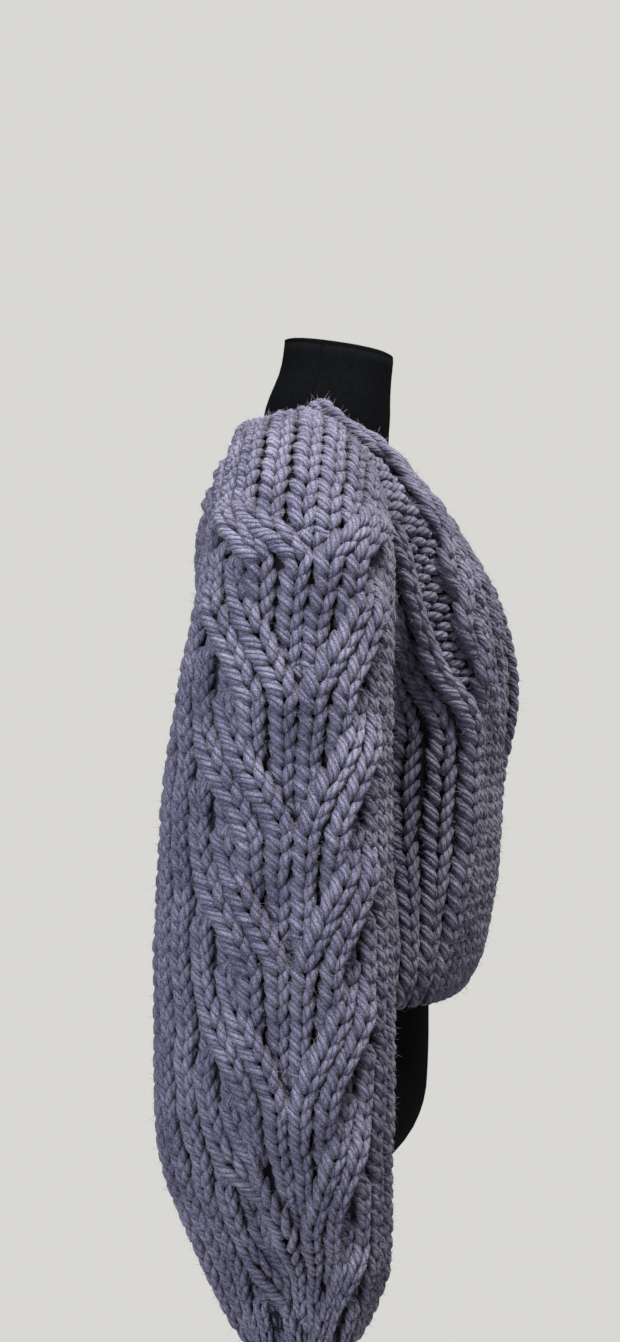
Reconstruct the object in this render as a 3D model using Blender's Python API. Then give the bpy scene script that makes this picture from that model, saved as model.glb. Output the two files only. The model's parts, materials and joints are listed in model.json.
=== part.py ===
"""Chunky hand-knitted cable cardigan worn by a limbless dress form.

Metres, +Z up, the front faces -Y and the wearer's left is +X. The base plate of
the stand rests on z = 0. Every knitted piece is a wall: an outer surface with
the cables raised in it and a plain inside. Body pieces are rows from the centre
line to the side seam or armhole; sleeves and cuffs are rings.
"""

import bpy
import numpy as np

SEAM_GAP = 0.0003           # between pieces that are sewn together
WALL = 0.008                # thickness of the knitting without its cables
STITCH_WIDTH = 0.0171       # one knitted column
ROW_HEIGHT = 0.0128         # one knitted row

BODY_ROWS = 39.0            # hem to neckline at the centre
UNDERARM_ROW = 20.0
SEAM_Y = 0.002              # plane of side and shoulder seams
FRONT_EDGE_X = 0.005        # half of the gap between the two front edges
ARMHOLE_X = 0.195           # plane of the armhole seam
ARMHOLE_Z = 1.308
ARMHOLE_HALF_HEIGHT = 0.111
ARMHOLE_HALF_DEPTH = 0.075
ARMHOLE_POWER = 2.2
ARMHOLE_HURRY = 0.75        # below 1 the rows climb the armhole faster at the underarm
NECK_SIDE = (0.072, SEAM_Y, 1.443)
NECK_SHARE = 0.42           # share of the top row that belongs to the neckline
SHOULDER_BLEND_ROW = 29.0   # rows start to take the shape of the top row here

SLEEVE_ROWS = 66.0
SLEEVE_POWER = 2.3
CABLE_CENTRE = 0.036        # share of the ring from its outermost point to the front
CABLE_REPEAT = 8.0          # rows
CABLE_FIRST_TIP = 17.0      # row of the first V tip below the shoulder
CABLE_HEIGHT = 0.009
GATHER_FOLDS = 8
GATHER_DEPTH = 0.0035
DEEP_FOLD_DEPTH = 0.010
LEFT_SWING = 0.050          # the wearer's left sleeve hangs this much further back

CUFF_TOP_Z = 0.687
CUFF_LENGTH = 0.085
CUFF_RIBS = 7
CUFF_RIB_HEIGHT = 0.0022

BASE_RADIUS = 0.190
BASE_THICKNESS = 0.014
POLE_RADIUS = 0.0125
FITTING_RADIUS = 0.024
FITTING_LENGTH = 0.045
FORM_BOTTOM_Z = 0.789
FORM_POWER = 2.25
NECK_TILT = 0.154           # rise of the neck top per metre towards the back
NECK_CAP_THICKNESS = 0.004

# One line per level of a body piece: row, y and z at its centre line, x and z
# at its side, fullness of the curve between them, rise of the row in its middle
BODY_COLUMNS = ("row", "y", "z", "side_x", "side_z", "full", "crown")
FRONT_LEVELS = (
    (0.0, -0.121, 0.938, 0.180, 0.940, 0.60, 0.000),
    (2.0, -0.137, 0.963, 0.187, 0.965, 0.60, 0.000),
    (5.0, -0.147, 1.002, 0.191, 1.004, 0.60, 0.000),
    (10.0, -0.1555, 1.066, 0.192, 1.068, 0.60, 0.000),
    (15.0, -0.157, 1.130, 0.193, 1.132, 0.60, 0.000),
    (20.0, -0.163, 1.193, 0.195, 1.197, 0.60, 0.000),
    (24.0, -0.161, 1.243, 0.195, 1.228, 0.60, 0.000),
    (27.0, -0.154, 1.280, 0.195, 1.262, 0.60, 0.000),
    (30.0, -0.137, 1.314, 0.195, 1.300, 0.60, 0.003),
    (33.0, -0.116, 1.346, 0.195, 1.340, 0.60, 0.008),
    (36.0, -0.089, 1.376, 0.195, 1.386, 0.60, 0.014),
    (39.0, -0.0735, 1.405, 0.195, 1.419, 0.60, 0.018),
)
BACK_LEVELS = (
    (0.0, 0.106, 0.940, 0.180, 0.940, 0.60, 0.000),
    (2.0, 0.113, 0.965, 0.187, 0.965, 0.60, 0.000),
    (5.0, 0.117, 1.004, 0.191, 1.004, 0.60, 0.000),
    (10.0, 0.119, 1.068, 0.192, 1.068, 0.60, 0.000),
    (15.0, 0.118, 1.132, 0.193, 1.132, 0.60, 0.000),
    (20.0, 0.111, 1.196, 0.195, 1.197, 0.60, 0.000),
    (24.0, 0.1015, 1.247, 0.195, 1.228, 0.60, 0.000),
    (27.0, 0.097, 1.285, 0.195, 1.262, 0.60, 0.000),
    (30.0, 0.0955, 1.323, 0.195, 1.300, 0.60, 0.004),
    (33.0, 0.0895, 1.361, 0.195, 1.340, 0.60, 0.008),
    (36.0, 0.082, 1.398, 0.195, 1.386, 0.60, 0.012),
    (39.0, 0.069, 1.436, 0.195, 1.419, 0.60, 0.012),
)

# Soft folds of a front: row, share of the row from the centre, depth inwards,
# reach along the column in rows, reach across as a share of the row
FOLD_COLUMNS = ("row", "share", "depth", "reach_rows", "reach_share")
FRONT_FOLDS = (
    (14.0, 0.66, 0.026, 7.0, 0.105),
    (9.0, 0.40, 0.005, 8.0, 0.060),
)
LEFT_STAND_OUT = (
    (20.5, 0.00, -0.009, 5.0, 0.30),
)

# Raised lines of stitches on a front: row and share of the row at each end,
# half width as a share of the row, height
RIDGE_COLUMNS = ("row_a", "share_a", "row_b", "share_b", "half_share", "height")
FRONT_RIDGES = (
    (38.5, 0.42, 28.0, 0.61, 0.050, 0.006),
    (29.5, 0.60, 20.5, 0.42, 0.050, 0.006),
    (32.5, 0.97, 17.0, 0.34, 0.045, 0.006),
)

# One line per ring of the sleeve: row, x and z of its outermost point, x and z
# of its innermost point, y of its middle, half of its depth along y
SLEEVE_COLUMNS = ("row", "out_x", "out_z", "in_x", "in_z", "y", "half")
SLEEVE_LEVELS = (
    (0.0, 0.1953, 1.419, 0.1953, 1.197, 0.002, 0.075),
    (3.0, 0.232, 1.4225, 0.2035, 1.172, -0.0035, 0.072),
    (6.0, 0.268, 1.413, 0.2065, 1.149, -0.0074, 0.070),
    (9.0, 0.299, 1.392, 0.2065, 1.126, -0.0078, 0.069),
    (12.0, 0.323, 1.363, 0.2065, 1.103, -0.0069, 0.070),
    (15.0, 0.338, 1.328, 0.2065, 1.080, -0.0048, 0.073),
    (19.0, 0.346, 1.278, 0.2065, 1.050, -0.0004, 0.0775),
    (25.0, 0.349, 1.202, 0.2065, 1.003, 0.0048, 0.083),
    (31.0, 0.350, 1.125, 0.2065, 0.956, 0.0067, 0.0855),
    (37.0, 0.350, 1.048, 0.2065, 0.909, 0.0077, 0.0875),
    (43.0, 0.349, 0.971, 0.2065, 0.862, 0.0077, 0.0875),
    (47.0, 0.346, 0.920, 0.2065, 0.831, 0.0079, 0.087),
    (50.0, 0.342, 0.882, 0.2075, 0.808, 0.0077, 0.0855),
    (53.0, 0.335, 0.845, 0.210, 0.785, 0.0039, 0.082),
    (56.0, 0.326, 0.809, 0.214, 0.762, -0.0013, 0.076),
    (59.0, 0.315, 0.775, 0.219, 0.739, -0.0066, 0.070),
    (62.0, 0.305, 0.740, 0.223, 0.717, -0.0091, 0.0595),
    (64.0, 0.299, 0.713, 0.226, 0.702, -0.0107, 0.0485),
    (66.0, 0.296, 0.687, 0.229, 0.687, -0.0112, 0.034),
)

# One line per level of the dress form: z, half width, y of the middle, half depth
FORM_COLUMNS = ("z", "half_x", "y", "half_y")
FORM_LEVELS = (
    (0.789, 0.124, 0.000, 0.056),
    (0.796, 0.140, 0.000, 0.070),
    (0.807, 0.151, 0.000, 0.080),
    (0.825, 0.160, 0.000, 0.090),
    (0.845, 0.165, 0.000, 0.095),
    (0.900, 0.167, 0.000, 0.097),
    (0.950, 0.162, -0.004, 0.094),
    (1.000, 0.152, -0.007, 0.094),
    (1.050, 0.139, -0.010, 0.093),
    (1.100, 0.130, -0.013, 0.093),
    (1.150, 0.134, -0.016, 0.097),
    (1.200, 0.145, -0.021, 0.104),
    (1.250, 0.152, -0.019, 0.104),
    (1.300, 0.156, -0.014, 0.094),
    (1.340, 0.157, -0.010, 0.080),
    (1.362, 0.150, -0.008, 0.070),
    (1.380, 0.132, -0.007, 0.0620),
    (1.395, 0.098, -0.006, 0.0575),
    (1.407, 0.0713, -0.005, 0.0571),
    (1.419, 0.060, -0.005, 0.0560),
    (1.433, 0.0565, -0.005, 0.0570),
    (1.446, 0.0555, -0.006, 0.0568),
    (1.464, 0.054, -0.009, 0.0540),
    (1.480, 0.0505, -0.013, 0.0505),
    (1.495, 0.049, -0.0155, 0.0490),
    (1.5085, 0.0486, -0.017, 0.0488),
)

YARN = (0.100, 0.094, 0.138)
JERSEY = (0.012, 0.012, 0.016)
METAL = (0.030, 0.030, 0.033)


def column(levels, names, name):
    """One named column of a table as an array."""
    return np.array([line[names.index(name)] for line in levels])


def soft_curve(x, y, at):
    """Monotone cubic through the points x, y, read at the places given."""
    at = np.clip(at, x[0], x[-1])
    step = np.diff(x)
    rise = np.diff(y) / step
    slope = np.zeros(len(x))
    both = rise[:-1] * rise[1:] > 0.0
    first = 2.0 * step[1:] + step[:-1]
    second = step[1:] + 2.0 * step[:-1]
    safe_a = np.where(both, rise[:-1], 1.0)
    safe_b = np.where(both, rise[1:], 1.0)
    slope[1:-1] = np.where(both, (first + second) / (first / safe_a + second / safe_b), 0.0)
    slope[0] = rise[0]
    slope[-1] = rise[-1]
    k = np.clip(np.searchsorted(x, at, side="right") - 1, 0, len(x) - 2)
    t = (at - x[k]) / step[k]
    return (
        y[k] * (1.0 + 2.0 * t) * (1.0 - t) ** 2
        + slope[k] * step[k] * t * (1.0 - t) ** 2
        + y[k + 1] * t * t * (3.0 - 2.0 * t)
        + slope[k + 1] * step[k] * t * t * (t - 1.0)
    )


def read_level(levels, names, name, at):
    """A table column read at any row or height, smoothly between its lines."""
    return soft_curve(levels_x(levels), column(levels, names, name), np.asarray(at, float))


def levels_x(levels):
    """First column of a table."""
    return np.array([line[0] for line in levels])


def ease(low, high, at):
    """0 below low, 1 above high, smooth between."""
    t = np.clip((at - low) / (high - low), 0.0, 1.0)
    return t * t * (3.0 - 2.0 * t)


def even_shares(points, shares):
    """Points along a line of points at the given shares of its length."""
    length = np.concatenate(([0.0], np.cumsum(np.linalg.norm(np.diff(points, axis=0), axis=1))))
    at = shares * length[-1]
    return np.stack([np.interp(at, length, points[:, axis]) for axis in range(3)], axis=1)


def super_pair(angle, power):
    """Sine and cosine drawn out to a superellipse."""
    sine = np.sin(angle)
    cosine = np.cos(angle)
    return (
        np.sign(sine) * np.abs(sine) ** (2.0 / power),
        np.sign(cosine) * np.abs(cosine) ** (2.0 / power),
    )


def armhole_point(share, towards):
    """Point of the armhole loop, share 0 at the underarm and 1 at the shoulder.

    towards is -1 for the front half of the loop and 1 for the back half.
    """
    angle = np.linspace(np.pi, 0.0, 241)
    sine, cosine = super_pair(angle, ARMHOLE_POWER)
    loop = np.stack(
        [
            np.full(angle.shape, ARMHOLE_X),
            SEAM_Y + towards * (0.5 * SEAM_GAP + ARMHOLE_HALF_DEPTH * sine),
            ARMHOLE_Z + ARMHOLE_HALF_HEIGHT * cosine,
        ],
        axis=1,
    )
    return even_shares(loop, np.asarray(share, float))


def top_row(levels, towards, centre_x, shares):
    """Neckline and shoulder seam: the last row of a front or of half the back."""
    y0 = levels[-1][1]
    z0 = levels[-1][2]
    seam_y = SEAM_Y + towards * 0.5 * SEAM_GAP
    around = np.clip(shares / NECK_SHARE, 0.0, 1.0) * np.pi / 2.0
    along = np.clip((shares - NECK_SHARE) / (1.0 - NECK_SHARE), 0.0, 1.0)
    x = centre_x + (NECK_SIDE[0] - centre_x) * np.sin(around)
    x = x + (ARMHOLE_X - NECK_SIDE[0]) * along
    y = seam_y + (y0 - seam_y) * np.cos(around)
    z = z0 + (NECK_SIDE[2] - z0) * (1.0 - np.cos(around))
    tip_z = ARMHOLE_Z + ARMHOLE_HALF_HEIGHT
    z = z + (tip_z - NECK_SIDE[2]) * along
    return np.stack([x, y, z], axis=-1)


def body_rows(levels, towards, centre_x, rows, shares):
    """Grid of points of a front or of half the back, and each row's reach.

    They are on the wearer's left. The reach is the row's share of its length
    without the armhole.

    Each row is a cubic curve from the centre line to the side seam. Above the
    underarm it is cut off at the armhole and drawn out to it, and towards the
    top the rows take the shape of the neckline and shoulder.
    """
    read = {
        name: read_level(levels, BODY_COLUMNS, name, rows) for name in BODY_COLUMNS[1:]
    }
    seam_y = SEAM_Y + towards * 0.5 * SEAM_GAP
    above = np.clip((rows - UNDERARM_ROW) / (BODY_ROWS - UNDERARM_ROW), 0.0, 1.0)
    loop = armhole_point(above ** ARMHOLE_HURRY, towards)
    low = rows < UNDERARM_ROW
    side_y = np.where(low, seam_y, loop[:, 1])
    end = np.stack(
        [
            np.where(low, read["side_x"], loop[:, 0]),
            side_y,
            np.where(low, read["side_z"], loop[:, 2]),
        ],
        axis=1,
    )
    start_xy = np.stack([np.full(rows.shape, centre_x), read["y"]], axis=1)
    side_xy = np.stack([read["side_x"], np.full(rows.shape, seam_y)], axis=1)
    span = np.abs(side_xy - start_xy)
    leave = start_xy + np.stack([read["full"] * span[:, 0], 0.0 * rows], axis=1)
    arrive = side_xy + np.stack([0.0 * rows, towards * read["full"] * span[:, 1]], axis=1)
    corners = (start_xy, leave, arrive, side_xy)
    whole = np.linspace(0.0, 1.0, 161)
    depth = np.abs(cubic(corners, np.tile(whole, (len(rows), 1)))[..., 1] - seam_y)
    wanted = np.abs(side_y - seam_y)
    cut = np.array([np.interp(w, d[::-1], whole[::-1]) for w, d in zip(wanted, depth)])
    flat = cubic(corners, cut[:, None] * whole[None])
    height = read["z"][:, None] + (end[:, 2] - read["z"])[:, None] * ease(0.0, 1.0, whole)
    height = height + read["crown"][:, None] * 4.0 * whole * (1.0 - whole)
    curve = np.concatenate([flat, height[..., None]], axis=2)
    reach = line_length(flat) / line_length(cubic(corners, np.tile(whole, (len(rows), 1))))
    grid = np.stack([even_shares(line, shares) for line in curve])
    grid = grid + (end - grid[:, -1])[:, None] * (shares ** 3)[None, :, None]
    crown_line = top_row(levels, towards, centre_x, shares)
    mix = ease(SHOULDER_BLEND_ROW, BODY_ROWS, rows)[:, None, None]
    grid = grid * (1.0 - mix) + crown_line[None] * mix
    grid[:, -1] = end
    return grid, reach


def line_length(lines):
    """Length of each line of points."""
    return np.linalg.norm(np.diff(lines, axis=1), axis=2).sum(axis=1)


def cubic(corners, at):
    """Cubic curves through two ends and two handles, one curve per row of at."""
    first, second, third, fourth = [corner[:, None] for corner in corners]
    t = at[..., None]
    return (
        first * (1 - t) ** 3
        + 3 * second * (1 - t) ** 2 * t
        + 3 * third * (1 - t) * t * t
        + fourth * t ** 3
    )


def grid_normals(grid, closed):
    """Unit normals of a grid of points; the sign is set by the caller."""
    if closed:
        wide = np.concatenate([grid[:, -1:], grid, grid[:, :1]], axis=1)
        across = wide[:, 2:] - wide[:, :-2]
    else:
        across = np.gradient(grid, axis=1)
    along = np.gradient(grid, axis=0)
    normal = np.cross(across, along)
    return normal / np.linalg.norm(normal, axis=2, keepdims=True)


def unit(vectors):
    """Vectors brought to length one."""
    return vectors / np.maximum(np.linalg.norm(vectors, axis=-1, keepdims=True), 1e-12)


def bump(value):
    """Bell that is 1 at 0 and almost 0 at 2."""
    return np.exp(-value * value)


def fold_field(folds, rows, shares):
    """Depth of the soft folds over a grid; shares holds one line for each row."""
    depth = np.zeros(shares.shape)
    for row, share, deep, reach_rows, reach_share in folds:
        down = bump((rows - row) / reach_rows)[:, None]
        across = bump((shares - share) / reach_share)
        depth += deep * down * across
    return depth


def ridge_field(ridges, rows, shares):
    """Height of the raised stitch lines over a grid of rows and shares."""
    height = np.zeros((len(rows), len(shares)))
    for row_a, share_a, row_b, share_b, half, tall in ridges:
        along = np.clip((rows - row_a) / (row_b - row_a), 0.0, 1.0)
        centre = share_a + (share_b - share_a) * along
        ends = ease(row_b - 2.0, row_b, rows) * (1.0 - ease(row_a, row_a + 1.0, rows))
        height += tall * bump((shares[None] - centre[:, None]) / half) * ends[:, None]
    return height


def body_normals(grid, rows, towards):
    """Outward normals of a body grid, square to the seam planes at its edges.

    Below the chest, where the rows are cut off by the armhole, they stand square
    to the row and take the lean of the centre line.
    """
    normal = grid_normals(grid, False)
    if np.sum(normal[len(rows) // 3, :, 1]) * towards < 0.0:
        normal = -normal
    across = np.gradient(grid, axis=1)
    level = unit(np.stack([across[..., 1], -across[..., 0], 0.0 * across[..., 0]], axis=2))
    level = level * -towards
    lean = np.gradient(grid[:, 0, 1], rows) / np.gradient(grid[:, 0, 2], rows)
    shares = np.linspace(1.0, 0.0, grid.shape[1])
    level[..., 2] = -towards * lean[:, None] * shares[None]
    high = ease(22.0, 28.0, rows)[:, None, None]
    normal = unit(unit(level) * (1.0 - high) + normal * high)
    side = normal[:, -1].copy()
    side[:, 1] = 0.0
    middle = np.array([SEAM_Y, ARMHOLE_Z])
    loop = np.zeros_like(side)
    loop[:, 1:] = grid[:, -1, 1:] - middle
    loop[:, 1] /= ARMHOLE_HALF_DEPTH ** 2
    loop[:, 2] /= ARMHOLE_HALF_HEIGHT ** 2
    loop[:, 1] = np.where(rows > BODY_ROWS - 0.01, 0.0, loop[:, 1])
    mix = ease(UNDERARM_ROW - 0.5, UNDERARM_ROW + 2.5, rows)[:, None]
    normal[:, -1] = unit(unit(side) * (1.0 - mix) + unit(loop) * mix)
    normal[:, 0, 0] = 0.0
    shoulder = np.linspace(0.0, 1.0, grid.shape[1]) >= NECK_SHARE
    normal[-1, shoulder, 1] = 0.0
    normal[-1, shoulder, 0] = 0.0
    return unit(normal)


def chain_faces(outer, inner):
    """Faces between two chains of point numbers with different counts.

    The inner chain holds the numbers that face some of the outer ones; outer is
    split evenly over the links of inner.
    """
    links = len(inner) - 1
    cut = np.round(np.linspace(0, len(outer) - 1, links + 1)).astype(int)
    faces = []
    for k in range(links):
        a, b = cut[k], cut[k + 1]
        half = (a + b) // 2
        for j in range(a, b):
            corner = inner[k] if j < half else inner[k + 1]
            faces.append((outer[j], outer[j + 1], corner))
        faces.append((inner[k], outer[half], inner[k + 1]))
    return faces


def wall_object(name, outer, inner, closed, colour):
    """Closed wall from an outer grid and a coarser inner grid.

    Both grids share their number of columns. The rims join the first and last
    rows, and the side edges too where the grid is not a ring.
    """
    rows_out, count = outer.shape[:2]
    rows_in = inner.shape[0]
    points = np.concatenate([outer.reshape(-1, 3), inner.reshape(-1, 3)])
    first_in = rows_out * count
    faces = []
    links = count if closed else count - 1
    for r in range(rows_out - 1):
        for c in range(links):
            d = (c + 1) % count
            faces.append((r * count + c, r * count + d, (r + 1) * count + d, (r + 1) * count + c))
    for r in range(rows_in - 1):
        for c in range(links):
            d = (c + 1) % count
            low = first_in + r * count
            high = low + count
            faces.append((low + d, low + c, high + c, high + d))
    last_out = (rows_out - 1) * count
    last_in = first_in + (rows_in - 1) * count
    for c in range(links):
        d = (c + 1) % count
        faces.append((d, c, first_in + c, first_in + d))
        faces.append((last_out + c, last_out + d, last_in + d, last_in + c))
    if not closed:
        for c, flip in ((0, False), (count - 1, True)):
            chain_out = [r * count + c for r in range(rows_out)]
            chain_in = [first_in + r * count + c for r in range(rows_in)]
            for face in chain_faces(chain_out, chain_in):
                faces.append(face[::-1] if flip else face)
    return solid(name, points, faces, colour)


def solid(name, points, faces, colour):
    """Mesh object with outward faces and its own material."""
    mesh = bpy.data.meshes.new(name)
    mesh.from_pydata([tuple(p) for p in points], [], [tuple(f) for f in faces])
    corner = np.array([points[list(f)[:3]] for f in faces])
    volume = np.einsum("ij,ij->i", corner[:, 0], np.cross(corner[:, 1], corner[:, 2])).sum()
    quads = np.array([points[[f[0], f[2], f[3]]] for f in faces if len(f) == 4])
    if len(quads):
        volume += np.einsum("ij,ij->i", quads[:, 0], np.cross(quads[:, 1], quads[:, 2])).sum()
    if volume < 0.0:
        mesh.flip_normals()
    for polygon in mesh.polygons:
        polygon.use_smooth = True
    material = bpy.data.materials.new(name + "_finish")
    material.use_nodes = True
    shader = material.node_tree.nodes["Principled BSDF"]
    shader.inputs["Base Color"].default_value = (*colour, 1.0)
    shader.inputs["Roughness"].default_value = 0.85
    mesh.materials.append(material)
    thing = bpy.data.objects.new(name, mesh)
    bpy.context.scene.collection.objects.link(thing)
    return thing


def mirrored(grid):
    """Grid on the wearer's right from one on the left."""
    return grid * np.array([-1.0, 1.0, 1.0])


def front_grids(stand_out):
    """Outer and inner grid of a front on the wearer's left."""
    rows = np.concatenate([np.linspace(0.0, 20.0, 13), [20.5, 21.2], np.linspace(22.4, BODY_ROWS, 12)])
    shares = np.linspace(0.0, 1.0, 16)
    base, reach = body_rows(FRONT_LEVELS, -1.0, FRONT_EDGE_X, rows, shares)
    normal = body_normals(base, rows, -1.0)
    sink = fold_field(FRONT_FOLDS + stand_out, rows, shares[None] * reach[:, None])
    base = base - normal * sink[..., None]
    raised = ridge_field(FRONT_RIDGES, rows, shares)
    inside = chosen_rows(len(rows), 9)
    return base + normal * raised[..., None], (base - normal * WALL)[inside]


def back_grids():
    """Outer and inner grid of the whole back."""
    rows = np.concatenate([np.linspace(0.0, 20.0, 10), [20.5, 21.2], np.linspace(22.6, BODY_ROWS, 10)])
    shares = np.linspace(0.0, 1.0, 14)
    half, _ = body_rows(BACK_LEVELS, 1.0, 0.0, rows, shares)
    normal = body_normals(half, rows, 1.0)
    inside = chosen_rows(len(rows), 8)
    outer = np.concatenate([mirrored(half)[:, :0:-1], half], axis=1)
    inner = (half - normal * WALL)[inside]
    inner = np.concatenate([mirrored(inner)[:, :0:-1], inner], axis=1)
    return outer, inner


def chosen_rows(count, wanted):
    """Numbers of the rows that the inside keeps, ends included."""
    return np.round(np.linspace(0, count - 1, wanted)).astype(int)


def sleeve_rings(rows, shares, swing):
    """Grid of a sleeve on the wearer's left without cables and gathers.

    A ring lies in the plane through its outermost and innermost points along
    y. Share 0 is outermost, shares grow towards the front. The sleeve hangs
    further back by swing from its middle down.
    """
    read = {
        name: read_level(SLEEVE_LEVELS, SLEEVE_COLUMNS, name, rows)
        for name in SLEEVE_COLUMNS[1:]
    }
    mid_y = read["y"] + swing * ease(3.0, 30.0, rows)
    outer = np.stack([read["out_x"], mid_y, read["out_z"]], axis=1)
    inner = np.stack([read["in_x"], mid_y, read["in_z"]], axis=1)
    middle = (outer + inner) / 2.0
    reach = (outer - inner) / 2.0
    angle = np.linspace(0.0, 2.0 * np.pi, 361)
    power = ARMHOLE_POWER + (SLEEVE_POWER - ARMHOLE_POWER) * ease(0.0, 8.0, rows)
    rings = []
    for k in range(len(rows)):
        sine, cosine = super_pair(angle, power[k])
        ring = middle[k] + reach[k] * cosine[:, None]
        ring[:, 1] -= read["half"][k] * sine
        rings.append(even_shares(ring, shares % 1.0))
    return np.stack(rings), middle


def sleeve_normals(grid, middle, rows):
    """Outward normals, kept in the seam planes at both ends."""
    normal = grid_normals(grid, True)
    outwards = np.sum(normal * (grid - middle[:, None]), axis=2, keepdims=True)
    normal = normal * np.sign(outwards)
    at_seam = grid[0] - middle[0]
    at_seam = at_seam / np.array([1.0, ARMHOLE_HALF_DEPTH ** 2, ARMHOLE_HALF_HEIGHT ** 2])
    at_seam[:, 0] = 0.0
    normal[0] = unit(at_seam)
    normal[-1, :, 2] = 0.0
    return unit(normal)


def cable_field(rows, columns):
    """Height of the horseshoe cable over rows and columns from its middle.

    In every repeat two bands of two stitches start three columns out and come
    down to the middle, where they make the tip of a V.
    """
    phase = ((rows - CABLE_FIRST_TIP) / CABLE_REPEAT) % 1.0
    travel = ease(0.25, 1.0, phase)
    travel = np.where(phase < 0.25, 1.0, travel)
    centre = 3.0 - 2.0 * travel
    strength = np.where(phase < 0.25, 1.0 - ease(0.0, 0.25, phase), ease(0.20, 0.55, phase))
    strength = strength * ease(7.0, 10.0, rows) * (1.0 - 0.6 * ease(56.0, 63.0, rows))
    band = bump((np.abs(columns)[None] - centre[:, None]) / 1.05)
    pocket = bump((np.abs(columns)[None] - centre[:, None] + 1.9) / 0.7)
    pocket = pocket * bump((phase - 0.72) / 0.22)[:, None]
    return CABLE_HEIGHT * band * strength[:, None] - 0.0035 * pocket * strength[:, None]


def gather_field(rows, shares):
    """Inward folds where the sleeve is drawn into its cuff."""
    grow = ease(50.0, 61.0, rows) * (1.0 - 0.75 * ease(63.5, SLEEVE_ROWS, rows))
    wave = 0.5 - 0.5 * np.cos(2.0 * np.pi * GATHER_FOLDS * (shares - CABLE_CENTRE))
    depth = GATHER_DEPTH * grow[:, None] * wave[None]
    deep = ease(46.0, 58.0, rows) * (1.0 - 0.85 * ease(63.0, SLEEVE_ROWS, rows))
    place = (shares - CABLE_CENTRE + 0.055 + 0.5) % 1.0 - 0.5
    return depth + DEEP_FOLD_DEPTH * deep[:, None] * bump(place / 0.028)[None]


def sleeve_shares():
    """Shares round the ring, close together over the cable."""
    half = 0.155
    cable = CABLE_CENTRE + np.linspace(-half, half, 17)
    rest = CABLE_CENTRE + half + (1.0 - 2.0 * half) * np.arange(1, 18) / 18.0
    return np.concatenate([cable, rest])


def sleeve_grids(swing):
    """Outer and inner grid of a sleeve on the wearer's left."""
    rows = np.concatenate([[0.0, 2.5, 5.0], np.linspace(7.0, 64.2, 37), [SLEEVE_ROWS]])
    shares = sleeve_shares()
    base, middle = sleeve_rings(rows, shares, swing)
    normal = sleeve_normals(base, middle, rows)
    base = base - normal * gather_field(rows, shares)[..., None]
    round_length = read_level(SLEEVE_LEVELS, SLEEVE_COLUMNS, "half", rows) * 5.6
    offset = (shares - CABLE_CENTRE + 0.5) % 1.0 - 0.5
    columns = offset * 30.0
    raised = cable_field(rows, columns)
    raised = raised * np.clip(round_length / 0.40, 0.0, 1.0)[:, None]
    inside = chosen_rows(len(rows), 12)
    return base + normal * raised[..., None], (base - normal * WALL)[inside]


def cuff_grids(swing):
    """Outer and inner grid of a ribbed cuff on the wearer's left."""
    heights = CUFF_TOP_Z - SEAM_GAP - np.array([0.0, 0.012, 0.045, CUFF_LENGTH])
    swell = np.array([0.0, 0.0015, 0.0, -0.0005])
    last = SLEEVE_LEVELS[-1]
    centre_x = (last[1] + last[3]) / 2.0
    half_x = (last[1] - last[3]) / 2.0
    shares = np.arange(28) / 28.0
    angle = 2.0 * np.pi * shares
    direction = np.stack([np.cos(angle), -np.sin(angle), np.zeros(28)], axis=1)
    size = np.array([half_x, last[6], 0.0])
    rib = CUFF_RIB_HEIGHT * (0.5 + 0.5 * np.cos(CUFF_RIBS * angle))
    ribbed = np.array([0.0, 1.0, 1.0, 0.7])
    outer = []
    inner = []
    for z, grow, share in zip(heights, swell, ribbed):
        ring = np.array([centre_x, last[5] + swing, z]) + direction * (size + grow)
        outer.append(ring + direction * (rib * share)[:, None])
        inner.append(ring - direction * WALL)
    return np.stack(outer)[::-1], np.stack(inner)[::-1]


def form_rings(count):
    """Rings of the dress form from its bottom to the slanted top of the neck."""
    angle = 2.0 * np.pi * np.arange(count) / count
    sine, cosine = super_pair(angle, FORM_POWER)
    rings = []
    for z, half_x, y, half_y in FORM_LEVELS:
        tilt = NECK_TILT * ease(1.43, 1.51, z)
        ring = np.stack([half_x * cosine, y + half_y * sine, np.full(count, z)], axis=1)
        ring[:, 2] += tilt * ring[:, 1]
        rings.append(ring)
    return np.stack(rings)


def capped_object(name, rings, colour):
    """Solid through a stack of rings, closed by a fan at each end."""
    levels, count = rings.shape[:2]
    points = np.concatenate([rings.reshape(-1, 3), rings[[0, -1]].mean(axis=1)])
    bottom = levels * count
    faces = []
    for r in range(levels - 1):
        for c in range(count):
            d = (c + 1) % count
            faces.append((r * count + c, r * count + d, (r + 1) * count + d, (r + 1) * count + c))
    last = (levels - 1) * count
    for c in range(count):
        d = (c + 1) % count
        faces.append((d, c, bottom))
        faces.append((last + c, last + d, bottom + 1))
    return solid(name, points, faces, colour)


def round_rings(profile, count):
    """Rings of a turned piece from its radius and height at each level."""
    angle = 2.0 * np.pi * np.arange(count) / count
    circle = np.stack([np.cos(angle), np.sin(angle), np.zeros(count)], axis=1)
    return np.stack([circle * radius + np.array([0.0, 0.0, z]) for radius, z in profile])


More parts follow.
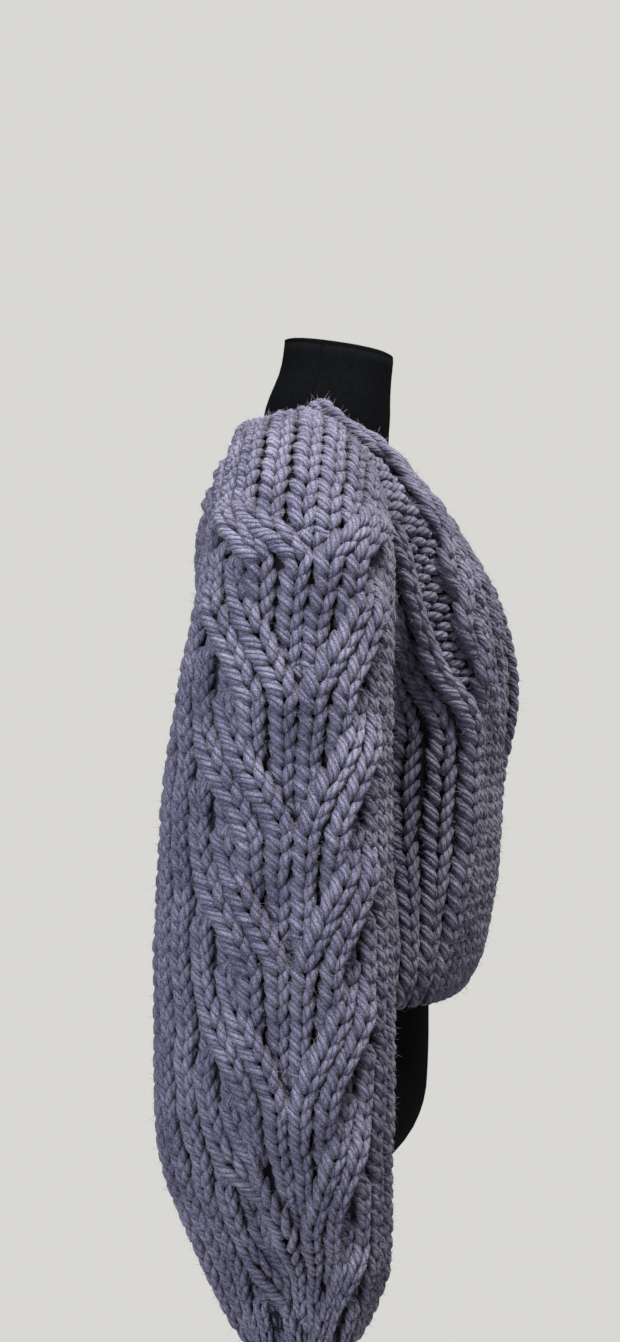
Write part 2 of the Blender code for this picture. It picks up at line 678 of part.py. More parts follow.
def build_form():
    """Torso, neck cap, fitting, pole and base plate."""
    torso = form_rings(28)
    capped_object("form_torso", torso, JERSEY)
    edge = torso[-1]
    lift = np.array([0.0, 0.0, 1.0])
    middle = edge.mean(axis=0)
    cap = np.stack(
        [
            edge + lift * SEAM_GAP,
            edge + lift * (SEAM_GAP + NECK_CAP_THICKNESS * 0.7),
            middle + (edge - middle) * 0.94 + lift * (SEAM_GAP + NECK_CAP_THICKNESS),
        ]
    )
    capped_object("form_neck_cap", cap, JERSEY)
    fitting_top = FORM_BOTTOM_Z - SEAM_GAP
    fitting_low = fitting_top - FITTING_LENGTH
    fitting = (
        (FITTING_RADIUS * 0.75, fitting_low),
        (FITTING_RADIUS, fitting_low + 0.006),
        (FITTING_RADIUS, fitting_top - 0.006),
        (FITTING_RADIUS * 1.25, fitting_top),
    )
    capped_object("form_fitting", round_rings(fitting, 24), METAL)
    pole_top = fitting_low - SEAM_GAP
    pole = ((POLE_RADIUS, BASE_THICKNESS + 0.010 + SEAM_GAP), (POLE_RADIUS, pole_top))
    capped_object("form_pole", round_rings(pole, 20), METAL)
    base = (
        (BASE_RADIUS - 0.002, 0.0),
        (BASE_RADIUS, 0.003),
        (BASE_RADIUS, BASE_THICKNESS - 0.006),
        (BASE_RADIUS - 0.008, BASE_THICKNESS - 0.001),
        (0.050, BASE_THICKNESS),
        (0.026, BASE_THICKNESS + 0.006),
        (0.022, BASE_THICKNESS + 0.010),
    )
    capped_object("form_base", round_rings(base, 48), METAL)


def build_cardigan():
    """Back, two fronts, two sleeves and two cuffs."""
    outer, inner = back_grids()
    wall_object("back", outer, inner, False, YARN)
    for name, flip, stand_out in (
        ("front_right", True, ()),
        ("front_left", False, LEFT_STAND_OUT),
    ):
        outer, inner = front_grids(stand_out)
        if flip:
            outer, inner = mirrored(outer), mirrored(inner)
        wall_object(name, outer, inner, False, YARN)
    for side, flip, swing in (("right", True, 0.0), ("left", False, LEFT_SWING)):
        for part, grids in (("sleeve_", sleeve_grids), ("cuff_", cuff_grids)):
            outer, inner = grids(swing)
            if flip:
                outer, inner = mirrored(outer), mirrored(inner)
            wall_object(part + side, outer, inner, True, YARN)


def main():
    """Clear the scene and build every piece."""
    for thing in list(bpy.data.objects):
        bpy.data.objects.remove(thing, do_unlink=True)
    build_form()
    build_cardigan()


main()
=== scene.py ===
"""Looks of a chunky hand-knitted cable cardigan worn by a limbless dress form.

Every knitted piece is a thin ground wall, the wool in painted shade, with real
stitches of thick plied wool on it. A stitch is two closed legs that follow the
piece's surface; the sleeve cable moves pairs of columns over and under each other.
Metres, +Z up, the front faces -Y and the wearer's left is +X.
"""

import json
import logging
from collections.abc import Callable
from dataclasses import dataclass
from enum import Enum
from typing import Protocol

import bpy
import numpy as np
import numpy.typing as npt
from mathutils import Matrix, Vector

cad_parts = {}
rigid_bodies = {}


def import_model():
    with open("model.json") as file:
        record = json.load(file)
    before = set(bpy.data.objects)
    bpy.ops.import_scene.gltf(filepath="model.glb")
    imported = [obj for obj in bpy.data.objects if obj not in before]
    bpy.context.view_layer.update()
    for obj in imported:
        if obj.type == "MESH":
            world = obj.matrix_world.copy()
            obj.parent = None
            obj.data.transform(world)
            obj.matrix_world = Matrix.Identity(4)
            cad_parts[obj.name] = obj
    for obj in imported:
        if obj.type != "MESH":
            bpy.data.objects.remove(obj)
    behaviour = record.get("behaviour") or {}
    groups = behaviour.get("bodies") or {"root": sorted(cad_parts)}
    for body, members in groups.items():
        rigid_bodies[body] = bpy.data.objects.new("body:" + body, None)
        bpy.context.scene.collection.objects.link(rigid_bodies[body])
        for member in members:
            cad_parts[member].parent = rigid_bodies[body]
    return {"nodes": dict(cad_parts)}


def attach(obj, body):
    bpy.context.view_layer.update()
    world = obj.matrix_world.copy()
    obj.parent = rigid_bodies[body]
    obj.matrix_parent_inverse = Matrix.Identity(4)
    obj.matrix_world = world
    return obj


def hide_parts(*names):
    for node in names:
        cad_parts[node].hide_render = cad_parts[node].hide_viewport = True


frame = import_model()

Array = npt.NDArray[np.float64]
Mask = npt.NDArray[np.bool_]
Faces = npt.NDArray[np.int64]
Fold = tuple[float, float, float, float, float]
LOG = logging.getLogger("cardigan")
NO_QUADS: Faces = np.zeros((0, 4), dtype=np.int64)
NO_TRIANGLES: Faces = np.zeros((0, 3), dtype=np.int64)
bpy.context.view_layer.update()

WALL = 0.008                # thickness of the knitting without its cables
FIBRE_RADIUS = 0.00015      # a real fibre is a tenth of this, too fine to show
FIBRE_ROOT = 0.0006         # a fibre starts this far inside its leg
FIBRE_LENGTHS = (0.0028, 0.0110)   # shortest and longest loose fibre
GROUND_DEPTH = 0.0030       # the ground, the wool in painted shade, lies this far under the surface
SEAM_GAP = 0.0003
BODY_ROWS = 39.0
UNDERARM_ROW = 20.0
FRONT_COLUMNS = 15.0        # stitches from the front edge to the side seam
FRONT_WIDEN = 0.32          # extra width of the stitches at the front edge
BACK_COLUMNS = 17.0         # stitches from the middle of the back to the side seam
SEAM_Y = 0.002
FRONT_EDGE_X = 0.005
ARMHOLE_X = 0.195
ARMHOLE_Z = 1.308
ARMHOLE_HALF_HEIGHT = 0.111
ARMHOLE_HALF_DEPTH = 0.075
ARMHOLE_POWER = 2.2
ARMHOLE_HURRY = 0.75        # power of the rise along the armhole, quick at the underarm
ARMHOLE_POINTS = 241
NECK_SIDE = (0.072, SEAM_Y, 1.443)
NECK_SHARE = 0.42
SHOULDER_BLEND_ROW = 29.0
CHEST_ROWS = (22.0, 28.0)   # from here up the wool stands square to the grid
BODY_GRID = (157, 73)       # rows and shares of a body piece's fine grid
ROW_HANDLE = 0.60           # handles of a row's curve, as a part of its width and depth
CURVE_POINTS = 161          # points of a row's curve before it is shared out
KNIT_MARGIN = 0.35          # columns that knit stitches keep from a side edge
PURL_MARGIN = 0.5
HEM_ROW = 0.10
HEM_LIFT = -0.0004
SEAM_MARGIN = 0.6           # rows that a sleeve's stitches keep from the armhole seam
SEAM_LIFT = -0.0016
SLEEVE_ROWS = 66.0
SLEEVE_COLUMNS = 27.0
SLEEVE_GRID = (265, 240)    # rings and shares of a sleeve's fine grid
RING_POINTS = 361           # points of a ring's curve before it is shared out

# Columns from the middle of the cable, and the share of the ring they take.
COLUMN_SHARES = (
    (0.0, 0.0),
    (4.0, 0.134),
    (5.0, 0.173),
    (6.0, 0.216),
    (7.0, 0.260),
    (8.0, 0.303),
    (13.5, 0.500),
)
SLEEVE_POWER = 2.3
CABLE_CENTRE = 0.036
CABLE_REPEAT = 8.0
CABLE_FIRST_TIP = 17.0
CABLE_HALF_COLUMNS = 4.0
GATHER_FOLDS = 8
GATHER_DEPTH = 0.0035
GATHER_ROWS = (50.0, 61.0, 63.5)      # the gathers start, are full, and are drawn in
GATHER_DRAWN = 0.75                   # part of their depth that the cuff takes away
DEEP_FOLD_DEPTH = 0.010
DEEP_FOLD_ROWS = (46.0, 58.0, 63.0)   # the same three rows of the one deep fold
DEEP_FOLD_DRAWN = 0.85
DEEP_FOLD_SHARE = 0.055               # its place behind the cable, in shares of the ring
DEEP_FOLD_WIDTH = 0.028
LEFT_SWING = 0.050
LEFT_SWING_ROWS = (3.0, 30.0)
CUFF_TOP_Z = 0.687
CUFF_LENGTH = 0.085
CUFF_COLUMNS = 14.0
CUFF_ROWS = 7.0
CUFF_GRID = (29, 112)       # rings and shares of a cuff's fine grid
CUFF_SWELL = (0.0015, 0.2, 0.25)   # height, place and width of the roll under its edge
FORM_POWER = 2.25
SEAM_HEIGHTS = (1.36, 1.512)   # heights between which the form's side seams show
NECK_TILT = 0.154
NECK_TILT_HEIGHTS = (1.43, 1.51)

BODY_NAMES = ("row", "y", "z", "side_x", "side_z", "crown")
FRONT_LEVELS = (
    (0.0, -0.121, 0.938, 0.180, 0.940, 0.000),
    (2.0, -0.137, 0.963, 0.187, 0.965, 0.000),
    (5.0, -0.147, 1.002, 0.191, 1.004, 0.000),
    (10.0, -0.1555, 1.066, 0.192, 1.068, 0.000),
    (15.0, -0.157, 1.130, 0.193, 1.132, 0.000),
    (20.0, -0.163, 1.193, 0.195, 1.197, 0.000),
    (24.0, -0.161, 1.243, 0.195, 1.228, 0.000),
    (27.0, -0.154, 1.280, 0.195, 1.262, 0.000),
    (30.0, -0.137, 1.314, 0.195, 1.300, 0.003),
    (33.0, -0.116, 1.346, 0.195, 1.340, 0.008),
    (36.0, -0.089, 1.376, 0.195, 1.386, 0.014),
    (39.0, -0.0735, 1.405, 0.195, 1.419, 0.018),
)
BACK_LEVELS = (
    (0.0, 0.106, 0.940, 0.180, 0.940, 0.000),
    (2.0, 0.113, 0.965, 0.187, 0.965, 0.000),
    (5.0, 0.117, 1.004, 0.191, 1.004, 0.000),
    (10.0, 0.119, 1.068, 0.192, 1.068, 0.000),
    (15.0, 0.118, 1.132, 0.193, 1.132, 0.000),
    (20.0, 0.111, 1.196, 0.195, 1.197, 0.000),
    (24.0, 0.1015, 1.247, 0.195, 1.228, 0.000),
    (27.0, 0.097, 1.285, 0.195, 1.262, 0.000),
    (30.0, 0.0955, 1.323, 0.195, 1.300, 0.004),
    (33.0, 0.0895, 1.361, 0.195, 1.340, 0.008),
    (36.0, 0.082, 1.398, 0.195, 1.386, 0.012),
    (39.0, 0.069, 1.436, 0.195, 1.419, 0.012),
)
# Soft folds of a front: row, share of the row, depth, reach in rows and in share
FRONT_FOLDS = (
    (14.5, 0.66, 0.054, 8.0, 0.108),
    (13.0, 0.43, -0.013, 8.0, 0.080),
)
LEFT_STAND_OUT = ((20.5, 0.00, -0.009, 5.0, 0.30),)

SLEEVE_NAMES = ("row", "out_x", "out_z", "in_x", "in_z", "y", "half")
SLEEVE_LEVELS = (
    (0.0, 0.1953, 1.419, 0.1953, 1.197, 0.002, 0.075),
    (3.0, 0.232, 1.4225, 0.2035, 1.172, -0.0035, 0.072),
    (6.0, 0.268, 1.413, 0.2065, 1.149, -0.0074, 0.070),
    (9.0, 0.299, 1.392, 0.2065, 1.126, -0.0078, 0.069),
    (12.0, 0.323, 1.363, 0.2065, 1.103, -0.0069, 0.070),
    (15.0, 0.338, 1.328, 0.2065, 1.080, -0.0048, 0.073),
    (19.0, 0.346, 1.278, 0.2065, 1.050, -0.0004, 0.0775),
    (25.0, 0.349, 1.202, 0.2065, 1.003, 0.0048, 0.083),
    (31.0, 0.350, 1.125, 0.2065, 0.956, 0.0067, 0.0855),
    (37.0, 0.350, 1.048, 0.2065, 0.909, 0.0077, 0.0875),
    (43.0, 0.349, 0.971, 0.2065, 0.862, 0.0077, 0.0875),
    (47.0, 0.346, 0.920, 0.2065, 0.831, 0.0079, 0.087),
    (50.0, 0.342, 0.882, 0.2075, 0.808, 0.0077, 0.0855),
    (53.0, 0.335, 0.845, 0.210, 0.785, 0.0039, 0.082),
    (56.0, 0.326, 0.809, 0.214, 0.762, -0.0013, 0.076),
    (59.0, 0.315, 0.775, 0.219, 0.739, -0.0066, 0.070),
    (62.0, 0.305, 0.740, 0.223, 0.717, -0.0091, 0.0595),
    (64.0, 0.299, 0.713, 0.226, 0.702, -0.0107, 0.0485),
    (66.0, 0.296, 0.687, 0.229, 0.687, -0.0112, 0.034),
)
FORM_NAMES = ("z", "half_x", "y", "half_y")
FORM_LEVELS = (
    (0.789, 0.124, 0.000, 0.056),
    (0.796, 0.140, 0.000, 0.070),
    (0.807, 0.151, 0.000, 0.080),
    (0.825, 0.160, 0.000, 0.090),
    (0.845, 0.165, 0.000, 0.095),
    (0.900, 0.167, 0.000, 0.097),
    (0.950, 0.162, -0.004, 0.094),
    (1.000, 0.152, -0.007, 0.094),
    (1.050, 0.139, -0.010, 0.093),
    (1.100, 0.130, -0.013, 0.093),
    (1.150, 0.134, -0.016, 0.097),
    (1.200, 0.145, -0.021, 0.104),
    (1.250, 0.152, -0.019, 0.104),
    (1.300, 0.156, -0.014, 0.094),
    (1.340, 0.157, -0.010, 0.080),
    (1.362, 0.150, -0.008, 0.070),
    (1.380, 0.132, -0.007, 0.0620),
    (1.395, 0.098, -0.006, 0.0575),
    (1.407, 0.0713, -0.005, 0.0571),
    (1.419, 0.060, -0.005, 0.0560),
    (1.433, 0.0565, -0.005, 0.0570),
    (1.446, 0.0555, -0.006, 0.0568),
    (1.464, 0.054, -0.009, 0.0540),
    (1.480, 0.0505, -0.013, 0.0505),
    (1.495, 0.049, -0.0155, 0.0490),
    (1.5085, 0.0486, -0.017, 0.0488),
)


def soft_curve(x: Array, y: Array, at: Array) -> Array:
    """Monotone cubic through the points x, y.

    Args:
        x: Places of the points, rising.
        y: Values at the points.
        at: Places to read.

    Returns:
        The value at each place.
    """
    at = np.clip(at, x[0], x[-1])
    step = np.diff(x)
    rise = np.diff(y) / step
    slope = np.zeros(len(x))
    both = rise[:-1] * rise[1:] > 0.0
    first = 2.0 * step[1:] + step[:-1]
    second = step[1:] + 2.0 * step[:-1]
    safe_a = np.where(both, rise[:-1], 1.0)
    safe_b = np.where(both, rise[1:], 1.0)
    slope[1:-1] = np.where(both, (first + second) / (first / safe_a + second / safe_b), 0.0)
    slope[0] = rise[0]
    slope[-1] = rise[-1]
    k = np.clip(np.searchsorted(x, at, side="right") - 1, 0, len(x) - 2)
    t = (at - x[k]) / step[k]
    return (
        y[k] * (1.0 + 2.0 * t) * (1.0 - t) ** 2
        + slope[k] * step[k] * t * (1.0 - t) ** 2
        + y[k + 1] * t * t * (3.0 - 2.0 * t)
        + slope[k + 1] * step[k] * t * t * (t - 1.0)
    )


@dataclass(frozen=True)
class SizeTable:
    """A short table of sizes whose first column is the row or height."""

    names: tuple[str, ...]
    lines: tuple[tuple[float, ...], ...]

    def read(self, name: str, at: Array) -> Array:
        """A column read smoothly at any row or height."""
        values = np.array(self.lines)
        return soft_curve(values[:, 0], values[:, self.names.index(name)], np.asarray(at, float))


def ease(low: float, high: float, at: Array) -> Array:
    """0 below low, 1 above high, 3t^2 - 2t^3 between."""
    t = np.clip((np.asarray(at, float) - low) / (high - low), 0.0, 1.0)
    return t * t * (3.0 - 2.0 * t)


def bump(value: Array) -> Array:
    """Bell exp(-v^2)."""
    return np.exp(-value * value)


def unit(vectors: Array) -> Array:
    """Vectors brought to length one."""
    return vectors / np.maximum(np.linalg.norm(vectors, axis=-1, keepdims=True), 1e-12)


def even_shares(points: Array, shares: Array) -> Array:
    """Points along a line of points at the given shares of its length.

    Args:
        points: Points of the line.
        shares: Shares of its length, 0 to 1.

    Returns:
        A point for each share, linear between the line's points.
    """
    length = np.concatenate(([0.0], np.cumsum(np.linalg.norm(np.diff(points, axis=0), axis=1))))
    at = shares * length[-1]
    return np.stack([np.interp(at, length, points[:, axis]) for axis in range(3)], axis=1)


def super_pair(angle: Array, power: float) -> tuple[Array, Array]:
    """Sine and cosine drawn out to a superellipse: sign(s) |s|^(2/power).

    Args:
        angle: Angles round the ellipse.
        power: 2 for an ellipse, more for a squarer one.

    Returns:
        The drawn-out sines and cosines.
    """
    sine = np.sin(angle)
    cosine = np.cos(angle)
    return (
        np.sign(sine) * np.abs(sine) ** (2.0 / power),
        np.sign(cosine) * np.abs(cosine) ** (2.0 / power),
    )


def cubic(corners: tuple[Array, Array, Array, Array], at: Array) -> Array:
    """Cubic curves (1-t)^3 a + 3 (1-t)^2 t b + 3 (1-t) t^2 c + t^3 d.

    Args:
        corners: First ends, both handles and last ends, one of each per curve.
        at: Places t on each curve, a row per curve.

    Returns:
        Points of the curves.
    """
    first, second, third, fourth = [corner[:, None] for corner in corners]
    t = at[..., None]
    return (
        first * (1 - t) ** 3
        + 3 * second * (1 - t) ** 2 * t
        + 3 * third * (1 - t) * t * t
        + fourth * t ** 3
    )


def fold_field(folds: tuple[Fold, ...], rows: Array, shares: Array) -> Array:
    """Sum of depth exp(-((row - r)/reach)^2) exp(-((share - s)/reach)^2).

    Args:
        folds: The folds, as FRONT_FOLDS lists them.
        rows: Rows of the grid.
        shares: Shares of the full row at each point of the grid.

    Returns:
        Depth below the even surface at each point.
    """
    depth = np.zeros(shares.shape)
    for row, share, deep, reach_rows, reach_share in folds:
        down = bump((rows - row) / reach_rows)[:, None]
        depth += deep * down * bump((shares - share) / reach_share)
    return depth


class Ply(Enum):
    """How the plies are counted on a leg, which sets how they run on it."""

    LENGTHWISE = 0   # counted along the leg: they run nearly upright and look smooth
    ROUND = 1        # counted round the leg: they slant across it like a rope's strands


@dataclass
class StitchSet:
    """Legs to be made: where each starts, leans and stands."""

    row: Array
    column: Array
    lean: Array
    lift: Array
    width: Array
    kind: Array

    def joined(self, other: "StitchSet") -> "StitchSet":
        """Both sets as one."""
        pairs = zip(vars(self).values(), vars(other).values())
        return StitchSet(*[np.concatenate(pair) for pair in pairs])

    def kept(self, mask: Mask) -> "StitchSet":
        """The legs whose mask is true."""
        return StitchSet(*[value[mask] for value in vars(self).values()])


Warp = Callable[[Array, Array, StitchSet], tuple[Array, Array, Array]]


def between(grid: Array, i: Array, j: Array, closed: bool) -> Array:
    """Values at places between a grid's points: mean of the four neighbours by nearness.

    Args:
        grid: Numbers or vectors, rows by columns.
        i: Places along the rows' numbers.
        j: Places along the columns' numbers.
        closed: Whether each row is a ring.

    Returns:
        A value for each place.
    """
    high, wide = grid.shape[:2]
    i = np.clip(i, 0.0, high - 1.001)
    j = j % wide if closed else np.clip(j, 0.0, wide - 1.001)
    row, column = np.floor(i).astype(int), np.floor(j).astype(int) % wide
    beside = (column + 1) % wide
    down, across = i - row, j - np.floor(j)
    if grid.ndim == 3:
        down, across = down[..., None], across[..., None]
    near = grid[row, column] * (1 - across) + grid[row, beside] * across
    far = grid[row + 1, column] * (1 - across) + grid[row + 1, beside] * across
    return near * (1 - down) + far * down


@dataclass
class KnitSurface:
    """Fine grid of a piece's surface with outward normals, read between its points."""

    points: Array
    normals: Array
    closed: bool

    def sample(self, i: Array, j: Array) -> tuple[Array, Array]:
        """Point and normal at grid places i, j, linear between grid points.

        Args:
            i: Places along the grid's rows.
            j: Places across, wrapped on a ring.

        Returns:
            Points and unit normals.
        """
        points = between(self.points, i, j, self.closed)
        return points, unit(between(self.normals, i, j, self.closed))


class KnittedPiece(Protocol):
    """A piece that stitches can be laid on."""

    def at(self, row: Array, column: Array) -> tuple[Array, Array]:
        """Point and normal of the surface at a row and column."""


def worn_surface(points: Array, normals: Array, closed: bool, mirror: bool) -> KnitSurface:
    """Surface of the wearer's left piece as it is, or of the right one by x to -x."""
    flip = np.array([-1.0 if mirror else 1.0, 1.0, 1.0])
    return KnitSurface(points * flip, normals * flip, closed)


def armhole_point(share: Array, towards: float) -> Array:
    """Points of the armhole loop, half a superellipse in a plane of constant x.

    Args:
        share: Share of the half loop's length, 0 at the underarm, 1 at the shoulder.
        towards: -1 for the front's half of the loop, 1 for the back's.

    Returns:
        The points.
    """
    angle = np.linspace(np.pi, 0.0, ARMHOLE_POINTS)
    sine, cosine = super_pair(angle, ARMHOLE_POWER)
    loop = np.stack(
        [
            np.full(angle.shape, ARMHOLE_X),
            SEAM_Y + towards * (0.5 * SEAM_GAP + ARMHOLE_HALF_DEPTH * sine),
            ARMHOLE_Z + ARMHOLE_HALF_HEIGHT * cosine,
        ],
        axis=1,
    )
    return even_shares(loop, np.asarray(share, float))


@dataclass
class BodyHalf:
    """A front, or half of the back: rows from the centre line to the side.

    Each row is a cubic curve to the side seam, cut off at the armhole above the
    underarm, and it turns into the neckline and shoulder towards the top.
    """

    levels: SizeTable
    towards: float
    centre_x: float
    mirror: bool
    folds: tuple[Fold, ...]
    columns: float
    widen: float = 0.0

    def __post_init__(self) -> None:
        """Works out the fine grid once."""
        self.rows = np.linspace(0.0, BODY_ROWS, BODY_GRID[0])
        self.shares = np.linspace(0.0, 1.0, BODY_GRID[1])
        points, self.reach = self.grid(self.rows, self.shares)
        normals = self.outward(points, self.rows)
        across = self.shares[None] * self.reach[:, None]
        points = points - normals * fold_field(self.folds, self.rows, across)[..., None]
        self.surface = worn_surface(points, self.outward(points, self.rows), False, self.mirror)

    @property
    def handed(self) -> float:
        """1 where columns count to the right as seen from outside."""
        return -self.towards * (-1.0 if self.mirror else 1.0)

    def top_row(self, shares: Array) -> Array:
        """Neckline as a quarter oval, then the straight shoulder seam.

        Args:
            shares: Shares of the row.

        Returns:
            The points.
        """
        y0 = self.levels.lines[-1][1]
        z0 = self.levels.lines[-1][2]
        seam_y = SEAM_Y + self.towards * 0.5 * SEAM_GAP
        around = np.clip(shares / NECK_SHARE, 0.0, 1.0) * np.pi / 2.0
        along = np.clip((shares - NECK_SHARE) / (1.0 - NECK_SHARE), 0.0, 1.0)
        x = self.centre_x + (NECK_SIDE[0] - self.centre_x) * np.sin(around)
        x = x + (ARMHOLE_X - NECK_SIDE[0]) * along
        y = seam_y + (y0 - seam_y) * np.cos(around)
        z = z0 + (NECK_SIDE[2] - z0) * (1.0 - np.cos(around))
        z = z + (ARMHOLE_Z + ARMHOLE_HALF_HEIGHT - NECK_SIDE[2]) * along
        return np.stack([x, y, z], axis=-1)

    def grid(self, rows: Array, shares: Array) -> tuple[Array, Array]:
        """Points of the rows, and the part of its full length that each row has.

        A row is a cubic curve seen from above, with handles 0.6 times its width
        and depth long; its height eases from the centre line to the side.

        Args:
            rows: The rows.
            shares: Shares of each row's own length.

        Returns:
            Points by row and share, and the parts.
        """
        read = {name: self.levels.read(name, rows) for name in BODY_NAMES[1:]}
        seam_y = SEAM_Y + self.towards * 0.5 * SEAM_GAP
        above = np.clip((rows - UNDERARM_ROW) / (BODY_ROWS - UNDERARM_ROW), 0.0, 1.0)
        loop = armhole_point(above ** ARMHOLE_HURRY, self.towards)
        low = rows < UNDERARM_ROW
        side_y = np.where(low, seam_y, loop[:, 1])
        side_x = np.where(low, read["side_x"], loop[:, 0])
        side_z = np.where(low, read["side_z"], loop[:, 2])
        end = np.stack([side_x, side_y, side_z], axis=1)
        start_xy = np.stack([np.full(rows.shape, self.centre_x), read["y"]], axis=1)
        side_xy = np.stack([read["side_x"], np.full(rows.shape, seam_y)], axis=1)
        span = np.abs(side_xy - start_xy)
        leave = start_xy + ROW_HANDLE * span * np.array([1.0, 0.0])
        lean = ROW_HANDLE * span * np.array([0.0, self.towards])
        corners = (start_xy, leave, side_xy + lean, side_xy)
        whole = np.linspace(0.0, 1.0, CURVE_POINTS)
        full = cubic(corners, np.tile(whole, (len(rows), 1)))
        depth = np.abs(full[..., 1] - seam_y)
        wanted = np.abs(side_y - seam_y)
        cut = np.array([np.interp(w, d[::-1], whole[::-1]) for w, d in zip(wanted, depth)])
        flat = cubic(corners, cut[:, None] * whole[None])
        height = read["z"][:, None] + (end[:, 2] - read["z"])[:, None] * ease(0.0, 1.0, whole)
        height = height + read["crown"][:, None] * 4.0 * whole * (1.0 - whole)
        curve = np.concatenate([flat, height[..., None]], axis=2)
        reach = line_length(flat) / line_length(full)
        grid = np.stack([even_shares(line, shares) for line in curve])
        grid = grid + (end - grid[:, -1])[:, None] * (shares ** 3)[None, :, None]
        mix = ease(SHOULDER_BLEND_ROW, BODY_ROWS, rows)[:, None, None]
        grid = grid * (1.0 - mix) + self.top_row(shares)[None] * mix
        grid[:, -1] = end
        return grid, reach

    def outward(self, grid: Array, rows: Array) -> Array:
        """Normals: square to the level row below the chest, to the grid above it.

        Args:
            grid: Points by row and share.
            rows: The rows.

        Returns:
            Unit normals that point away from the wearer.
        """
        across = np.gradient(grid, axis=1)
        normal = unit(np.cross(across, np.gradient(grid, axis=0)))
        if np.sum(normal[len(rows) // 3, :, 1]) * self.towards < 0.0:
            normal = -normal
        level = unit(np.stack([across[..., 1], -across[..., 0], 0.0 * across[..., 0]], axis=2))
        level = level * -self.towards
        lean = np.gradient(grid[:, 0, 1], rows) / np.gradient(grid[:, 0, 2], rows)
        level[..., 2] = -self.towards * lean[:, None] * (1.0 - self.shares)[None]
        high = ease(*CHEST_ROWS, rows)[:, None, None]
        return unit(unit(level) * (1.0 - high) + normal * high)

    def edge_column(self, row: Array) -> Array:
        """Number of columns in a row.

        Args:
            row: The rows.

        Returns:
            The column at which each row ends.
        """
        part = np.linspace(0.0, 1.0, 201)
        reach = np.interp(row, self.rows, self.reach)
        return self.columns * np.interp(reach, self.spaced(part), part)

    def spaced(self, part: Array) -> Array:
        """Share of a full row at a part of its columns, p + widen sin(pi p) / pi."""
        return part + self.widen * np.sin(np.pi * np.clip(part, 0.0, 1.0)) / np.pi

    def at(self, row: Array, column: Array) -> tuple[Array, Array]:
        """Point and normal of the surface at a row and column.

        Args:
            row: Rows from the hem.
            column: Columns from the centre line.

        Returns:
            Points and unit normals.
        """
        share = self.spaced(column / self.columns) / np.interp(row, self.rows, self.reach)
        i = row / BODY_ROWS * (len(self.rows) - 1)
        return self.surface.sample(i, share * (len(self.shares) - 1))


def line_length(lines: Array) -> Array:
    """Length of each line of points."""
    return np.linalg.norm(np.diff(lines, axis=1), axis=2).sum(axis=1)


